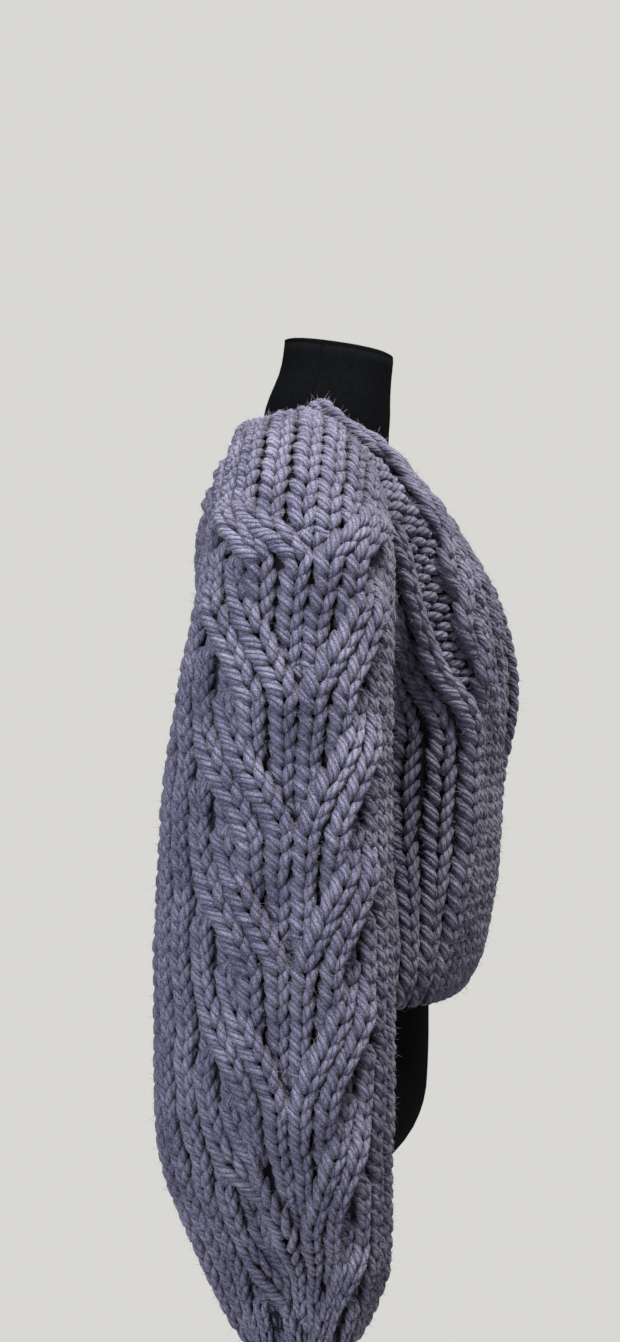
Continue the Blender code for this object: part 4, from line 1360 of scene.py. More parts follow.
@dataclass
class Knitter:
    """Turns sets of legs into meshes on one piece's surface.

    up is 1 where rows count upwards. The limits keep a leg's width and thickness
    within reason where columns crowd or spread.
    """

    piece: KnittedPiece
    up: float
    seed: int
    pitch_limits: tuple[float, float] = (0.0055, 0.0215)
    full_pitch: float = 0.0165    # width of a column whose legs are as thick as their shape says
    thick_limits: tuple[float, float] = (0.6, 1.1)
    girth: float = 2.2            # way round a leg, in its widths

    def legs(self, legs: StitchSet, shape: LegShape, warp: Warp | None) -> tuple[Array, Array, Array]:
        """Ring points of each leg, its length at every ring and its width.

        Along a column the middle line is column + lean (foot + spread s^flare),
        row + up (start + length s), raised along the surface normal; along a row
        the two are exchanged.

        Args:
            legs: The legs.
            shape: Their shape.
            warp: Function of rows, columns and legs that gives moved rows and
                columns and extra height, or None.

        Returns:
            Ring points with the two ends last, lengths, and widths.
        """
        s = np.array(shape.share)[None]
        size = np.array(shape.size)[None]
        side = legs.lean[:, None] * (shape.foot + shape.spread * s ** shape.flare) * legs.width[:, None]
        along = self.up * (shape.start + shape.length * s)
        if shape.direction is Direction.COLUMN:
            row, column = legs.row[:, None] + along, legs.column[:, None] + side
            beside = (0.0, 0.5)
        else:
            row, column = legs.row[:, None] + side, legs.column[:, None] + along
            beside = (0.5, 0.0)
        lift = legs.lift[:, None] + np.array(shape.height)[None]
        if warp is not None:
            row, column, extra = warp(row, column, legs)
            lift = lift + extra
        point, normal = self.piece.at(row, column)
        one, _ = self.piece.at(row[:, 3] - beside[0], column[:, 3] - beside[1])
        two, _ = self.piece.at(row[:, 3] + beside[0], column[:, 3] + beside[1])
        pitch = np.clip(np.linalg.norm(one - two, axis=1), *self.pitch_limits)
        line = point + normal * lift[..., None]
        tangent = unit(np.gradient(line, axis=1))
        across = unit(np.cross(tangent, normal))
        out = np.cross(across, tangent)
        half = shape.half_width * pitch * legs.width
        thick = shape.thickness * np.clip(pitch / self.full_pitch, *self.thick_limits)
        angle = 2.0 * np.pi * np.arange(shape.sides) / shape.sides - np.pi / 2.0
        wide = (half[:, None] * size[:, 1:-1])[..., None, None]
        high = (thick[:, None] * size[:, 1:-1])[..., None, None]
        rings = line[:, 1:-1, None] + across[:, 1:-1, None] * wide * np.cos(angle)[:, None]
        rings = rings + out[:, 1:-1, None] * high * np.sin(angle)[:, None]
        count = len(legs.row)
        points = np.concatenate([rings.reshape(count, -1, 3), line[:, :1], line[:, -1:]], axis=1)
        steps = np.linalg.norm(np.diff(line, axis=1), axis=2)
        reach = np.concatenate([np.zeros((count, 1)), np.cumsum(steps, axis=1)], axis=1)
        return points, reach, 2.0 * half

    def mesh(
        self, name: str, sets: list[LegGroup], material: bpy.types.Material
    ) -> tuple[bpy.types.Object, Array]:
        """One joined mesh of all the legs.

        Args:
            name: Name of the object.
            sets: Legs, their shape and their warp.
            material: The wool.

        Returns:
            The object, and the leg points for the loose fibres.
        """
        rng = np.random.default_rng(self.seed)
        all_points, quad_uv, tri_uv = [], [], []
        for legs, shape, warp in sets:
            points, reach, wide = self.legs(legs, shape, warp)
            all_points.append(points)
            uv = self.ply_uv(legs, reach, wide, rng)
            quad_uv.append(uv[0])
            tri_uv.append(uv[1])
        points = np.concatenate(all_points)
        quads, tris = tube_faces(LEG.rings, LEG.sides)
        if faces_inwards(points[0], quads):
            quads, tris = quads[:, ::-1], tris[:, ::-1]
            quad_uv = [part[:, :, ::-1] for part in quad_uv]
            tri_uv = [part[:, :, ::-1] for part in tri_uv]
        shift = (np.arange(len(points)) * points.shape[1])[:, None, None]
        thing = mesh_object(
            name,
            points.reshape(-1, 3),
            (quads[None] + shift).reshape(-1, 4),
            (tris[None] + shift).reshape(-1, 3),
            material,
            np.concatenate(quad_uv),
            np.concatenate(tri_uv),
        )
        # Painted shade and light: each leg's colour is darkened towards its underside and ends and lightened
        # a little on top, kept in the point attribute open.
        level = np.sin(2.0 * np.pi * np.arange(LEG.sides) / LEG.sides - np.pi / 2.0)
        face = np.interp(level, (-1.0, -0.5, 0.5, 1.0), LEG.painted_light_round)
        leg = np.append(np.outer(LEG.painted_light_along, face).ravel(), [LEG.painted_light_end, LEG.painted_light_end])
        layer = thing.data.attributes.new("open", "FLOAT", "POINT")
        layer.data.foreach_set("value", np.tile(leg, len(points)).astype(np.float32))
        return thing, points

    def ply_uv(
        self, legs: StitchSet, reach: Array, wide: Array, rng: np.random.Generator
    ) -> tuple[Array, Array]:
        """Corner UVs: x counts plies, y is the length along the leg in plies.

        With w the way round the leg, x = (length + turn w) / pitch for plies that
        are counted lengthwise, and (w + turn length) / pitch for those counted
        round. Each leg starts at a random place.

        Args:
            legs: The legs.
            reach: Length of each leg up to every point of its middle line.
            wide: Width of each leg.
            rng: Seeded random source.

        Returns:
            UVs of the quads' corners, and of the end triangles' corners.
        """
        count = len(legs.row)
        start = rng.random(count)[:, None, None]
        w = (np.arange(LEG.sides + 1) / LEG.sides)[None, None] * (self.girth * wide)[:, None, None]
        y = reach[:, 1:-1, None]
        lengthwise = (legs.kind == Ply.LENGTHWISE.value)[:, None, None]
        along = (y + w * LEG.length_turn) / LEG.length_pitch
        around = (w + y * LEG.round_turn) / LEG.round_pitch
        x = np.where(lengthwise, along, around) + start
        field = np.stack([x, np.broadcast_to(y / LEG.length_pitch, x.shape) + start * 7.0], axis=-1)
        low, high = field[:, :-1], field[:, 1:]
        quads = np.stack([low[:, :, :-1], low[:, :, 1:], high[:, :, 1:], high[:, :, :-1]], axis=3)
        quads = quads.reshape(count, (LEG.rings - 1) * LEG.sides, 4, 2)
        foot = np.stack([field[:, 0, 1:], field[:, 0, :-1], field[:, 0, :-1]], axis=2)
        head = np.stack([field[:, -1, :-1], field[:, -1, 1:], field[:, -1, :-1]], axis=2)
        return quads, np.concatenate([foot, head], axis=1)


@dataclass(frozen=True)
class Hand:
    """How uneven the knitter's stitches are: spread in rows, columns, widths and metres."""

    row: float = 0.035
    column: float = 0.025
    leg_row: float = 0.05
    width: float = 0.05
    height: float = 0.0003


KNIT_HAND = Hand()
PURL_HAND = Hand(row=0.03, column=0.04)
LEG_WIDTHS = (0.90, 1.12)     # of the legs with plies counted lengthwise, and of the others


def knit_columns(
    rows: Array, columns: Array, handed: float, up: float, rng: np.random.Generator
) -> StitchSet:
    """Two legs for each stitch of plain knitting, with small hand-made changes.

    Args:
        rows: Row of each stitch.
        columns: Column of each stitch's middle.
        handed: 1 where columns count to the right from outside.
        up: 1 where rows count upwards.
        rng: Seeded random source.

    Returns:
        The legs.
    """
    count = len(rows)
    jitter = rng.normal(0.0, 1.0, (5, count))
    row = rows + KNIT_HAND.row * jitter[0]
    column = columns + KNIT_HAND.column * jitter[1]
    width = 1.0 + KNIT_HAND.width * jitter[2]
    lift = KNIT_HAND.height * jitter[3]
    lean = np.concatenate([np.ones(count), -np.ones(count)])
    lengthwise = lean * handed > 0.0
    return StitchSet(
        np.concatenate([row + KNIT_HAND.leg_row * jitter[4], row]),
        np.concatenate([column, column]),
        lean,
        np.concatenate([lift, lift]),
        np.concatenate([width, width]) * np.where(lengthwise, *LEG_WIDTHS),
        np.where(lengthwise, Ply.LENGTHWISE.value, Ply.ROUND.value),
    )


def stitch_grid(rows: Array, columns: Array) -> tuple[Array, Array]:
    """Every row with every column, as two flat arrays."""
    r, c = np.meshgrid(rows, columns, indexing="ij")
    return r.ravel(), c.ravel()


@dataclass
class HorseshoeCable:
    """Eight columns in four pairs; the outer pair of each side comes over the inner.

    In each repeat the front pair moves from three columns out to one, and the
    back pair from one to three. Times are phases, parts of the repeat that have
    passed since the tip of the V.
    """

    lift: float = 0.0128                # height of the front pair
    sink: float = 0.0070                # depth of the back pair
    start: float = 0.04                 # the front pair sets out
    late: float = 0.50                  # it sets out in the first repeat
    even: float = 0.7                   # part of its way that is walked evenly, the rest is eased
    places: tuple[float, float] = (0.94, 3.0)         # middles of an inner and an outer pair
    passes: tuple[float, float, float] = (0.77, 0.66, 0.43)   # the back pair sets out:
    # its inner column, its outer one in the first repeat, and in the others
    passing: float = 0.24               # how long the back pair takes
    rises: tuple[float, float] = (0.06, 0.42)         # the front pair is raised
    late_rises: tuple[float, float] = (0.45, 0.75)    # it is raised in the first repeat
    rest: float = 0.55                  # the pair that crossed before has sunk back
    flat_rows: tuple[float, float] = (57.0, 64.0)     # the cable flattens above the cuff
    flatness: float = 0.55
    closeness: float = 0.94             # width of a cable column among the others
    turn: float = 0.55                  # how the rows tilt in a crossing pair
    plump: float = 1.08
    pull: float = 0.28                  # how far the plain columns beside it are drawn in
    pull_reach: float = 3.0             # so many of them
    leaves: tuple[float, float] = (0.02, 0.40)        # the outer pair leaves them
    late_leaves: float = 0.75           # it has left them in the first repeat
    comes: tuple[float, float] = (0.44, 0.66)         # the next pair arrives
    open_columns: tuple[float, ...] = (-3.5, -2.5, 0.0, 2.5, 3.5)   # left open by a crossing
    open_outer: tuple[float, float] = (0.10, 0.70)    # the outermost place is empty
    open_next: tuple[float, float] = (0.62, 0.06)     # the next one, over the tip of the V
    open_middle: tuple[float, float] = (0.78, 0.03)   # the middle one, over the tip too
    middle_sink: float = 0.3            # its backing lies so far down, as a part of sink

    def phase(self, row: Array) -> Array:
        """Part of the repeat that has passed; 0 is the tip of the V."""
        return ((row - CABLE_FIRST_TIP) / CABLE_REPEAT) % 1.0

    def warp(self, row: Array, column: Array, legs: StitchSet) -> tuple[Array, Array, Array]:
        """Rows, moved columns and extra height of the cable's legs.

        A leg's own column is its place in the cable before any crossing. Which
        pair it belongs to decides whether it goes over or under in a repeat.

        Args:
            row: Rows along each leg.
            column: Columns along each leg.
            legs: The legs.

        Returns:
            The rows, columns and heights.
        """
        inner, outer = self.places
        home = legs.column[:, None]
        side = np.sign(home)
        outside = np.abs(home) > 2.0
        offset = np.abs(home) - np.where(outside, 3.0, 1.0)
        member = column - home
        raw = (row - CABLE_FIRST_TIP) / CABLE_REPEAT + 1.0
        started = raw > 0.0
        first = raw < 1.0
        phase = self.phase(row)
        swapped = np.where(started, np.floor(raw), 0.0) % 2.0 > 0.5
        front = np.where(swapped, ~outside, outside)
        start = np.where(first, self.late, self.start)
        way = np.clip((phase - start) / (1.0 - start), 0.0, 1.0)
        over = np.where(started, self.even * way + (1.0 - self.even) * ease(0.0, 1.0, way), 0.0)
        begin = np.where(offset < 0.0, self.passes[0], np.where(first, *self.passes[1:]))
        under = np.where(started, ease(0.0, 1.0, (phase - begin) / self.passing), 0.0)
        far = np.where(front, outer - (outer - inner) * over, inner + (outer - inner) * under)
        rise = np.where(first, ease(*self.late_rises, phase), ease(*self.rises, phase))
        rest = np.where(raw > 1.0, 1.0 - ease(0.0, self.rest, phase), 0.0)
        dive = np.sin(np.pi * np.clip(under, 0.0, 1.0))
        extra = np.where(front, self.lift * rise, self.lift * rest - self.sink * dive)
        extra = extra * started * (1.0 - self.flatness * ease(*self.flat_rows, row))
        turned = self.turn * np.where(front, over * (1.0 - over) * 4.0, 0.0)
        return row + side * member * turned, side * (far + offset) + self.closeness * member, extra

    def bare(self, row: Array, column: Array) -> Mask:
        """Whether the crossing leaves the place of a column open.

        Args:
            row: The rows.
            column: The columns, of open_columns.

        Returns:
            True where the ground would show.
        """
        phase, far = self.phase(row), np.abs(column)
        outermost = (far > 3.0) & (phase > self.open_outer[0]) & (phase < self.open_outer[1])
        near = (far > 2.0) & (far < 3.0) & ((phase > self.open_next[0]) | (phase < self.open_next[1]))
        middle = (far < 1.0) & ((phase > self.open_middle[0]) | (phase < self.open_middle[1]))
        return (row > CABLE_FIRST_TIP - 0.5 * CABLE_REPEAT) & (outermost | near | middle)

    def beside(self, row: Array, column: Array, legs: StitchSet) -> tuple[Array, Array, Array]:
        """Plain columns beside the cable, drawn into the place its outer pair leaves.

        The shift is pull (1 - (distance - 4) / reach), while the outer pair has
        left and the column that comes out from under it has not arrived.

        Args:
            row: Rows along each leg.
            column: Columns along each leg.
            legs: The legs.

        Returns:
            The rows, moved columns and no height.
        """
        home = legs.column[:, None]
        signed = np.where(home > SLEEVE_COLUMNS / 2.0, home - SLEEVE_COLUMNS, home)
        near = np.clip(1.0 - (np.abs(signed) - CABLE_HALF_COLUMNS) / self.pull_reach, 0.0, 1.0)
        raw = (row - CABLE_FIRST_TIP) / CABLE_REPEAT + 1.0
        phase = self.phase(row)
        first = raw < 1.0
        leave = np.where(first, self.late, self.leaves[0])
        left = ease(leave, np.where(first, self.late_leaves, self.leaves[1]), phase)
        pull = self.pull * left * (1.0 - ease(*self.comes, phase)) * (raw > 0.0)
        return row, column - np.sign(signed) * pull * near, 0.0 * row


@dataclass
class FrontPattern:
    """A raised chain and a twisted rope that part above the chest.

    The table gives the middle column of the rope and of the chain at a row.
    Between them lies a wedge of purl stitches; the columns on either side are
    moved along with them.
    """

    rope_home: float = 4.0
    chain_home: float = 5.5
    lines: SizeTable = SizeTable(
        ("row", "rope", "chain"),
        (
            (0.0, 4.18, 5.56),
            (12.0, 3.83, 5.18),
            (17.0, 3.74, 5.09),
            (20.0, 4.01, 5.66),
            (22.5, 4.63, 6.74),
            (25.0, 5.18, 7.69),
            (28.0, 5.66, 8.58),
            (31.0, 5.56, 9.17),
            (34.0, 5.09, 9.54),
            (39.0, 4.81, 10.17),
        ),
    )
    ridge: float = 0.0085
    twist_rows: float = 7.0
    twist_reach: float = 0.46           # in columns, to each side of the rope's middle
    twist_height: float = 0.0028
    closeness: float = 0.85             # width of a rope column among the others
    rope_starts: tuple[float, float] = (18.5, 22.0)
    chain_starts: tuple[float, float] = (15.0, 20.0)
    purl_rows: tuple[float, float] = (19.5, 38.8)
    purl_depth: float = 0.0020

    def warp(self, row: Array, column: Array, legs: StitchSet) -> tuple[Array, Array, Array]:
        """Rows, moved columns and extra height of a front's knit columns.

        Args:
            row: Rows along each leg.
            column: Columns along each leg.
            legs: The legs.

        Returns:
            The rows, columns and heights.
        """
        home = legs.column[:, None]
        rope_at = self.lines.read("rope", row)
        chain_at = self.lines.read("chain", row)
        inner = column * rope_at / self.rope_home
        outer = column + chain_at - self.chain_home
        moved = np.where(home > self.chain_home - 0.6, outer, inner)
        high = ease(*self.rope_starts, row)
        rope = np.abs(home - self.rope_home) < 0.9
        angle = 2.0 * np.pi * row / self.twist_rows + np.where(home > self.rope_home, 0.0, np.pi)
        twisted = rope_at + self.twist_reach * np.cos(angle) + self.closeness * (column - home)
        moved = np.where(rope, moved * (1.0 - high) + twisted * high, moved)
        chain = np.abs(home - self.chain_home) < 0.4
        extra = np.where(rope, (self.ridge + self.twist_height * np.sin(angle)) * high, 0.0)
        extra = extra + np.where(chain, self.ridge * ease(*self.chain_starts, row), 0.0)
        return row, moved, extra

    def purl(self, rng: np.random.Generator) -> StitchSet:
        """Bumps of the purl wedge, two half rows to a row.

        Args:
            rng: Seeded random source.

        Returns:
            The bumps between rope and chain.
        """
        rows, columns = stitch_grid(np.arange(*self.purl_rows, 0.5), np.arange(0.0, 6.0))
        columns = columns + np.where(np.round(rows * 2.0) % 2 > 0.5, 0.5, 0.0)
        columns = columns + self.lines.read("rope", rows) + 0.45
        kept = columns < self.lines.read("chain", rows) - 0.1
        return bumps(rows[kept], columns[kept], -self.purl_depth, rng)


def bumps(rows: Array, columns: Array, lift: float, rng: np.random.Generator) -> StitchSet:
    """Purl bumps, with small hand-made changes.

    Args:
        rows: Row of each bump.
        columns: Its column.
        lift: Height above the surface.
        rng: Seeded random source.

    Returns:
        The bumps.
    """
    count = len(rows)
    change = rng.normal(0.0, 1.0, (4, count))
    return StitchSet(
        rows + PURL_HAND.row * change[0],
        columns + PURL_HAND.column * change[1],
        np.ones(count),
        lift + PURL_HAND.height * change[2],
        1.0 + PURL_HAND.width * change[3],
        np.full(count, Ply.LENGTHWISE.value),
    )


def bump_row(columns: Array, row: float, lift: float, rng: np.random.Generator) -> StitchSet:
    """One row of purl bumps, as at a hem or seam."""
    return bumps(np.full(len(columns), row), columns, lift, rng)


def build_cuff_sets(cuff: Cuff, rng: np.random.Generator) -> list[LegGroup]:
    """Knit ribs and sunk purl columns of a cuff.

    Args:
        cuff: The cuff.
        rng: Seeded random source.

    Returns:
        The legs with their shape, not warped.
    """
    rows, columns = stitch_grid(np.arange(0.1, CUFF_ROWS - 0.3, 1.0), np.arange(0.5, CUFF_COLUMNS, 1.0))
    legs = knit_columns(rows, columns, cuff.handed, -1.0, rng)
    sunk = np.floor(legs.column) % 2 > 0.5
    legs.lift = legs.lift - np.where(sunk, 0.0022, -0.0006)
    legs.row = legs.row + 1.0
    return [(legs, LEG, None)]


@dataclass
class CardiganLooks:
    """The whole cardigan: ground walls, stitches and loose fibres."""

    wool: bpy.types.Material
    ground: bpy.types.Material
    fibre: bpy.types.Material
    front_fibres: int = 8000
    back_fibres: int = 6000             # on each half
    sleeve_fibres: int = 19000
    cuff_fibres: int = 1200

    def dress(self, thing: bpy.types.Object) -> bpy.types.Object:
        """Rides a knitted piece on the root.

        Args:
            thing: The piece.

        Returns:
            The same piece.
        """
        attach(thing, "root")
        return thing

    def fuzz(self, name: str, legs: Array, count: int, seed: int) -> bpy.types.Object:
        """Loose short fibres on the legs.

        A fibre starts on a random ring point of a random leg and leaves it along
        the line from the leg's middle, turned by a random vector, and tapers. Its
        length is shortest + (longest - shortest) r^2, with r random from 0 to 1.

        Args:
            name: Name of the object.
            legs: Points of the legs.
            count: Number of fibres.
            seed: Seed of the random draws.

        Returns:
            The object.
        """
        rng = np.random.default_rng(seed + 100)
        leg = legs[rng.integers(0, len(legs), count)]
        ring = rng.integers(1, LEG.rings - 1, count)
        rings = leg[:, : LEG.rings * LEG.sides].reshape(count, LEG.rings, LEG.sides, 3)
        middle = rings[np.arange(count), ring].mean(axis=1)
        start = leg[np.arange(count), ring * LEG.sides + rng.integers(0, LEG.sides, count)]
        way = unit(unit(start - middle) + 0.7 * rng.normal(0.0, 1.0, (count, 3)))
        shortest, longest = FIBRE_LENGTHS
        length = (shortest + (longest - shortest) * rng.random(count) ** 2)[:, None]
        side = unit(np.cross(way, rng.normal(0.0, 1.0, (count, 3))))
        other = np.cross(way, side)
        angle = 2.0 * np.pi * np.arange(3) / 3.0
        turn = side[:, None] * np.cos(angle)[:, None] + other[:, None] * np.sin(angle)[:, None]
        ring_points = (start - FIBRE_ROOT * way)[:, None] + FIBRE_RADIUS * turn
        tip = (start + length * way)[:, None]
        points = np.concatenate([ring_points, tip], axis=1)
        tris = np.array([[0, 1, 3], [1, 2, 3], [2, 0, 3], [0, 2, 1]])
        shift = (np.arange(count) * 4)[:, None, None]
        tris = (tris[None] + shift).reshape(-1, 3)
        return self.dress(mesh_object(name, points.reshape(-1, 3), NO_QUADS, tris, self.fibre))

    def ground_wall(self, name: str, surface: KnitSurface, step: tuple[int, int]) -> bpy.types.Object:
        """Thin wall under the stitches of a piece, in the painted shade of the gaps.

        Args:
            name: Name of the object, that of its CAD node and "_ground".
            surface: Surface of the piece.
            step: Steps through the fine grid's rows and columns.

        Returns:
            The wall, which replaces its CAD node.
        """
        points = surface.points[:: step[0], :: step[1]]
        normals = surface.normals[:: step[0], :: step[1]]
        outer = points - normals * GROUND_DEPTH
        inner = points - normals * WALL
        wall = wall_mesh(name, outer, inner, surface.closed, self.ground)
        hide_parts(name.replace("_ground", ""))
        return self.dress(wall)

    def front(self, name: str, mirror: bool, folds: tuple[Fold, ...], seed: int) -> None:
        """A front with its ground, chain, rope, purl wedge and hem.

        Args:
            name: Name of the piece.
            mirror: Whether it is the wearer's right one.
            folds: Its soft folds.
            seed: Seed of the random draws.
        """
        table = SizeTable(BODY_NAMES, FRONT_LEVELS)
        half = BodyHalf(table, -1.0, FRONT_EDGE_X, mirror, folds, FRONT_COLUMNS, FRONT_WIDEN)
        rng = np.random.default_rng(seed)
        pattern = FrontPattern()
        across = np.arange(0.5, FRONT_COLUMNS)
        rows, columns = stitch_grid(np.arange(0.3, BODY_ROWS - 1.0), across)
        legs = knit_columns(rows, columns, half.handed, 1.0, rng)
        _, placed, _ = pattern.warp(legs.row[:, None], legs.column[:, None], legs)
        legs = legs.kept(placed[:, 0] < half.edge_column(legs.row) - KNIT_MARGIN)
        purl = pattern.purl(rng)
        purl = purl.kept(purl.column < half.edge_column(purl.row) - PURL_MARGIN)
        hem = bump_row(across, HEM_ROW, HEM_LIFT, rng)
        wall = self.ground_wall(name + "_ground", half.surface, (3, 3))
        sets = [(legs, LEG, pattern.warp), (purl, BUMP, None), (hem, BUMP, None)]
        knit, points = Knitter(half, 1.0, seed).mesh(name + "_stitches", sets, self.wool)
        self.dress(knit)
        fuzz = self.fuzz(name + "_fuzz", points, self.front_fibres, seed)

    def back(self, seed: int) -> None:
        """The back: two mirrored halves of one wall.

        Args:
            seed: Seed of the random draws.
        """
        halves = [
            BodyHalf(SizeTable(BODY_NAMES, BACK_LEVELS), 1.0, 0.0, mirror, (), BACK_COLUMNS)
            for mirror in (False, True)
        ]
        left, right = [half.surface for half in halves]
        points = np.concatenate([right.points[:, :0:-1], left.points], axis=1)
        normals = np.concatenate([right.normals[:, :0:-1], left.normals], axis=1)
        wall = self.ground_wall("back_ground", KnitSurface(points, normals, False), (3, 3))
        across = np.arange(0.5, BACK_COLUMNS)
        for half, side in zip(halves, ("left", "right")):
            rng = np.random.default_rng(seed)
            rows, columns = stitch_grid(np.arange(0.3, BODY_ROWS - 1.0), across)
            legs = knit_columns(rows, columns, half.handed, 1.0, rng)
            legs = legs.kept(legs.column < half.edge_column(legs.row) - KNIT_MARGIN)
            sets = [(legs, LEG, None), (bump_row(across, HEM_ROW, HEM_LIFT, rng), BUMP, None)]
            knit, points = Knitter(half, 1.0, seed).mesh("back_stitches_" + side, sets, self.wool)
            self.dress(knit)
            self.fuzz("back_fuzz_" + side, points, self.back_fibres, seed)

    def sleeve_legs(self, sleeve: Sleeve, columns: Array, rng: np.random.Generator) -> StitchSet:
        """Knitting of a sleeve's columns, from the armhole seam to the cuff.

        Args:
            sleeve: The sleeve.
            columns: The columns.
            rng: Seeded random source.

        Returns:
            The legs.
        """
        rows, columns = stitch_grid(np.arange(1.0, SLEEVE_ROWS), columns)
        legs = knit_columns(rows, columns, sleeve.handed, -1.0, rng)
        return legs.kept(legs.row > sleeve.first_row(legs.column) + SEAM_MARGIN)

    def sleeve(self, side: str, mirror: bool, swing: float, seed: int) -> None:
        """A sleeve: cable columns and plain columns in two meshes.

        Args:
            side: right or left.
            mirror: Whether it is the wearer's right one.
            swing: How far it hangs back, in metres.
            seed: Seed of the random draws.
        """
        name = "sleeve_" + side
        sleeve = Sleeve(mirror, swing)
        rng = np.random.default_rng(seed)
        cable = HorseshoeCable()
        half = CABLE_HALF_COLUMNS
        braid = self.sleeve_legs(sleeve, np.arange(-half + 0.5, half), rng)
        braid.width = braid.width * cable.plump
        plain = self.sleeve_legs(sleeve, np.arange(half + 0.5, SLEEVE_COLUMNS - half), rng)
        behind = self.sleeve_legs(sleeve, np.array(cable.open_columns), rng)
        behind = behind.kept(cable.bare(behind.row, behind.column))
        middle = np.abs(behind.column) < 1.0
        behind.lift = behind.lift - cable.sink * np.where(middle, cable.middle_sink, 1.0)
        wall = self.ground_wall(name + "_ground", sleeve.surface, (6, 4))
        knitter = Knitter(sleeve, -1.0, seed)
        first, points = knitter.mesh(name + "_cable", [(braid, LEG, cable.warp)], self.wool)
        seam = bump_row(np.arange(0.5, SLEEVE_COLUMNS), 0.35, SEAM_LIFT, rng)
        inner = bump_row(np.arange(0.0, SLEEVE_COLUMNS), 0.95, SEAM_LIFT, rng)
        sets = [
            (plain, LEG, cable.beside),
            (behind, LEG, None),
            (seam.joined(inner), BUMP, sleeve.along_seam),
        ]
        second, more = knitter.mesh(name + "_stitches", sets, self.wool)
        self.dress(first)
        self.dress(second)
        fuzz = self.fuzz(name + "_fuzz", np.concatenate([points, more]), self.sleeve_fibres, seed)

    def cuff(self, side: str, mirror: bool, swing: float, seed: int) -> None:
        """A ribbed cuff.

        Args:
            side: right or left.
            mirror: Whether it is the wearer's right one.
            swing: How far it hangs back, in metres.
            seed: Seed of the random draws.
        """
        name = "cuff_" + side
        cuff = Cuff(mirror, swing)
        rng = np.random.default_rng(seed)
        wall = self.ground_wall(name + "_ground", cuff.surface, (4, 2))
        sets = build_cuff_sets(cuff, rng)
        knit, points = Knitter(cuff, -1.0, seed).mesh(name + "_stitches", sets, self.wool)
        self.dress(knit)
        fuzz = self.fuzz(name + "_fuzz", points, self.cuff_fibres, seed)

    def build(self) -> None:
        """All the knitted pieces."""
        self.front("front_right", True, FRONT_FOLDS, 11)
        self.front("front_left", False, FRONT_FOLDS + LEFT_STAND_OUT, 12)
        LOG.info("fronts made")
        self.back(13)
        LOG.info("back made")
        for side, mirror, swing, seed in (("right", True, 0.0, 14), ("left", False, LEFT_SWING, 15)):
            self.sleeve(side, mirror, swing, seed)
            self.cuff(side, mirror, swing, seed + 10)
            LOG.info("%s sleeve and cuff made", side)


@dataclass
class DressForm:
    """Torso, neck cap and stand."""

    jersey: bpy.types.Material
    paint: bpy.types.Material
    around: int = 56
    levels: int = 80
    seam_turn: float = 0.17
    seam_radius: float = 0.0011
    seam_rings: int = 61
    seam_sides: int = 6

    def __post_init__(self) -> None:
        """Lays out the table of the torso's levels."""
        self.table = SizeTable(FORM_NAMES, FORM_LEVELS)

    def tilted(self, heights: Array, y: Array) -> Array:
        """Heights with the top of the neck tilted forward: z + tilt y."""
        return heights + NECK_TILT * ease(*NECK_TILT_HEIGHTS, heights) * y

    def torso(self) -> bpy.types.Object:
        """Smooth torso through the levels of its table, closed at both ends.

        Returns:
            The torso, which replaces its CAD node.
        """
        heights = np.linspace(FORM_LEVELS[0][0], FORM_LEVELS[-1][0], self.levels)[:, None]
        angle = 2.0 * np.pi * np.arange(self.around) / self.around
        sine, cosine = super_pair(angle, FORM_POWER)
        x = self.table.read("half_x", heights) * cosine[None]
        y = self.table.read("y", heights) + self.table.read("half_y", heights) * sine[None]
        rings = np.stack([x, y, self.tilted(heights, y)], axis=-1)
        points = np.concatenate([rings.reshape(-1, 3), rings[[0, -1]].mean(axis=1)])
        quads, ends = tube_faces(self.levels, self.around)
        torso = mesh_object("form_torso_skin", points, quads, ends, self.jersey)
        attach(torso, "root")
        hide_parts("form_torso")
        return torso

    def side_seams(self) -> None:
        """A thin raised seam on each side of the torso, from the chest to the neck."""
        heights = np.linspace(*SEAM_HEIGHTS, self.seam_rings)
        sine, cosine = super_pair(np.array([self.seam_turn]), FORM_POWER)
        y = self.table.read("y", heights) + self.table.read("half_y", heights) * sine[0]
        angle = 2.0 * np.pi * np.arange(self.seam_sides) / self.seam_sides
        for side, sign in (("right", -1.0), ("left", 1.0)):
            x = sign * self.table.read("half_x", heights) * cosine[0]
            line = np.stack([x, y, self.tilted(heights, y)], axis=1)
            along = unit(np.gradient(line, axis=0))
            out = unit(np.cross(along, np.array([0.0, sign, 0.0])))
            across = np.cross(out, along)
            rings = line[:, None] + self.seam_radius * (
                out[:, None] * np.sin(angle)[:, None] + across[:, None] * np.cos(angle)[:, None]
            )
            points = np.concatenate([rings.reshape(-1, 3), line[[0, -1]]])
            quads, ends = tube_faces(self.seam_rings, self.seam_sides)
            if faces_inwards(points, quads):
                quads, ends = quads[:, ::-1], ends[:, ::-1]
            seam = mesh_object("form_seam_" + side, points, quads, ends, self.jersey)
            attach(seam, "root")

    def build(self) -> None:
        """The form with its stand, whose CAD pieces are painted."""
        self.torso()
        self.side_seams()
        cap = frame["nodes"]["form_neck_cap"]
        cap.data.materials.clear()
        cap.data.materials.append(self.jersey)
        for name in ("form_fitting", "form_pole", "form_base"):
            node = frame["nodes"][name]
            node.data.materials.clear()
            node.data.materials.append(self.paint)
        LOG.info("dress form made")


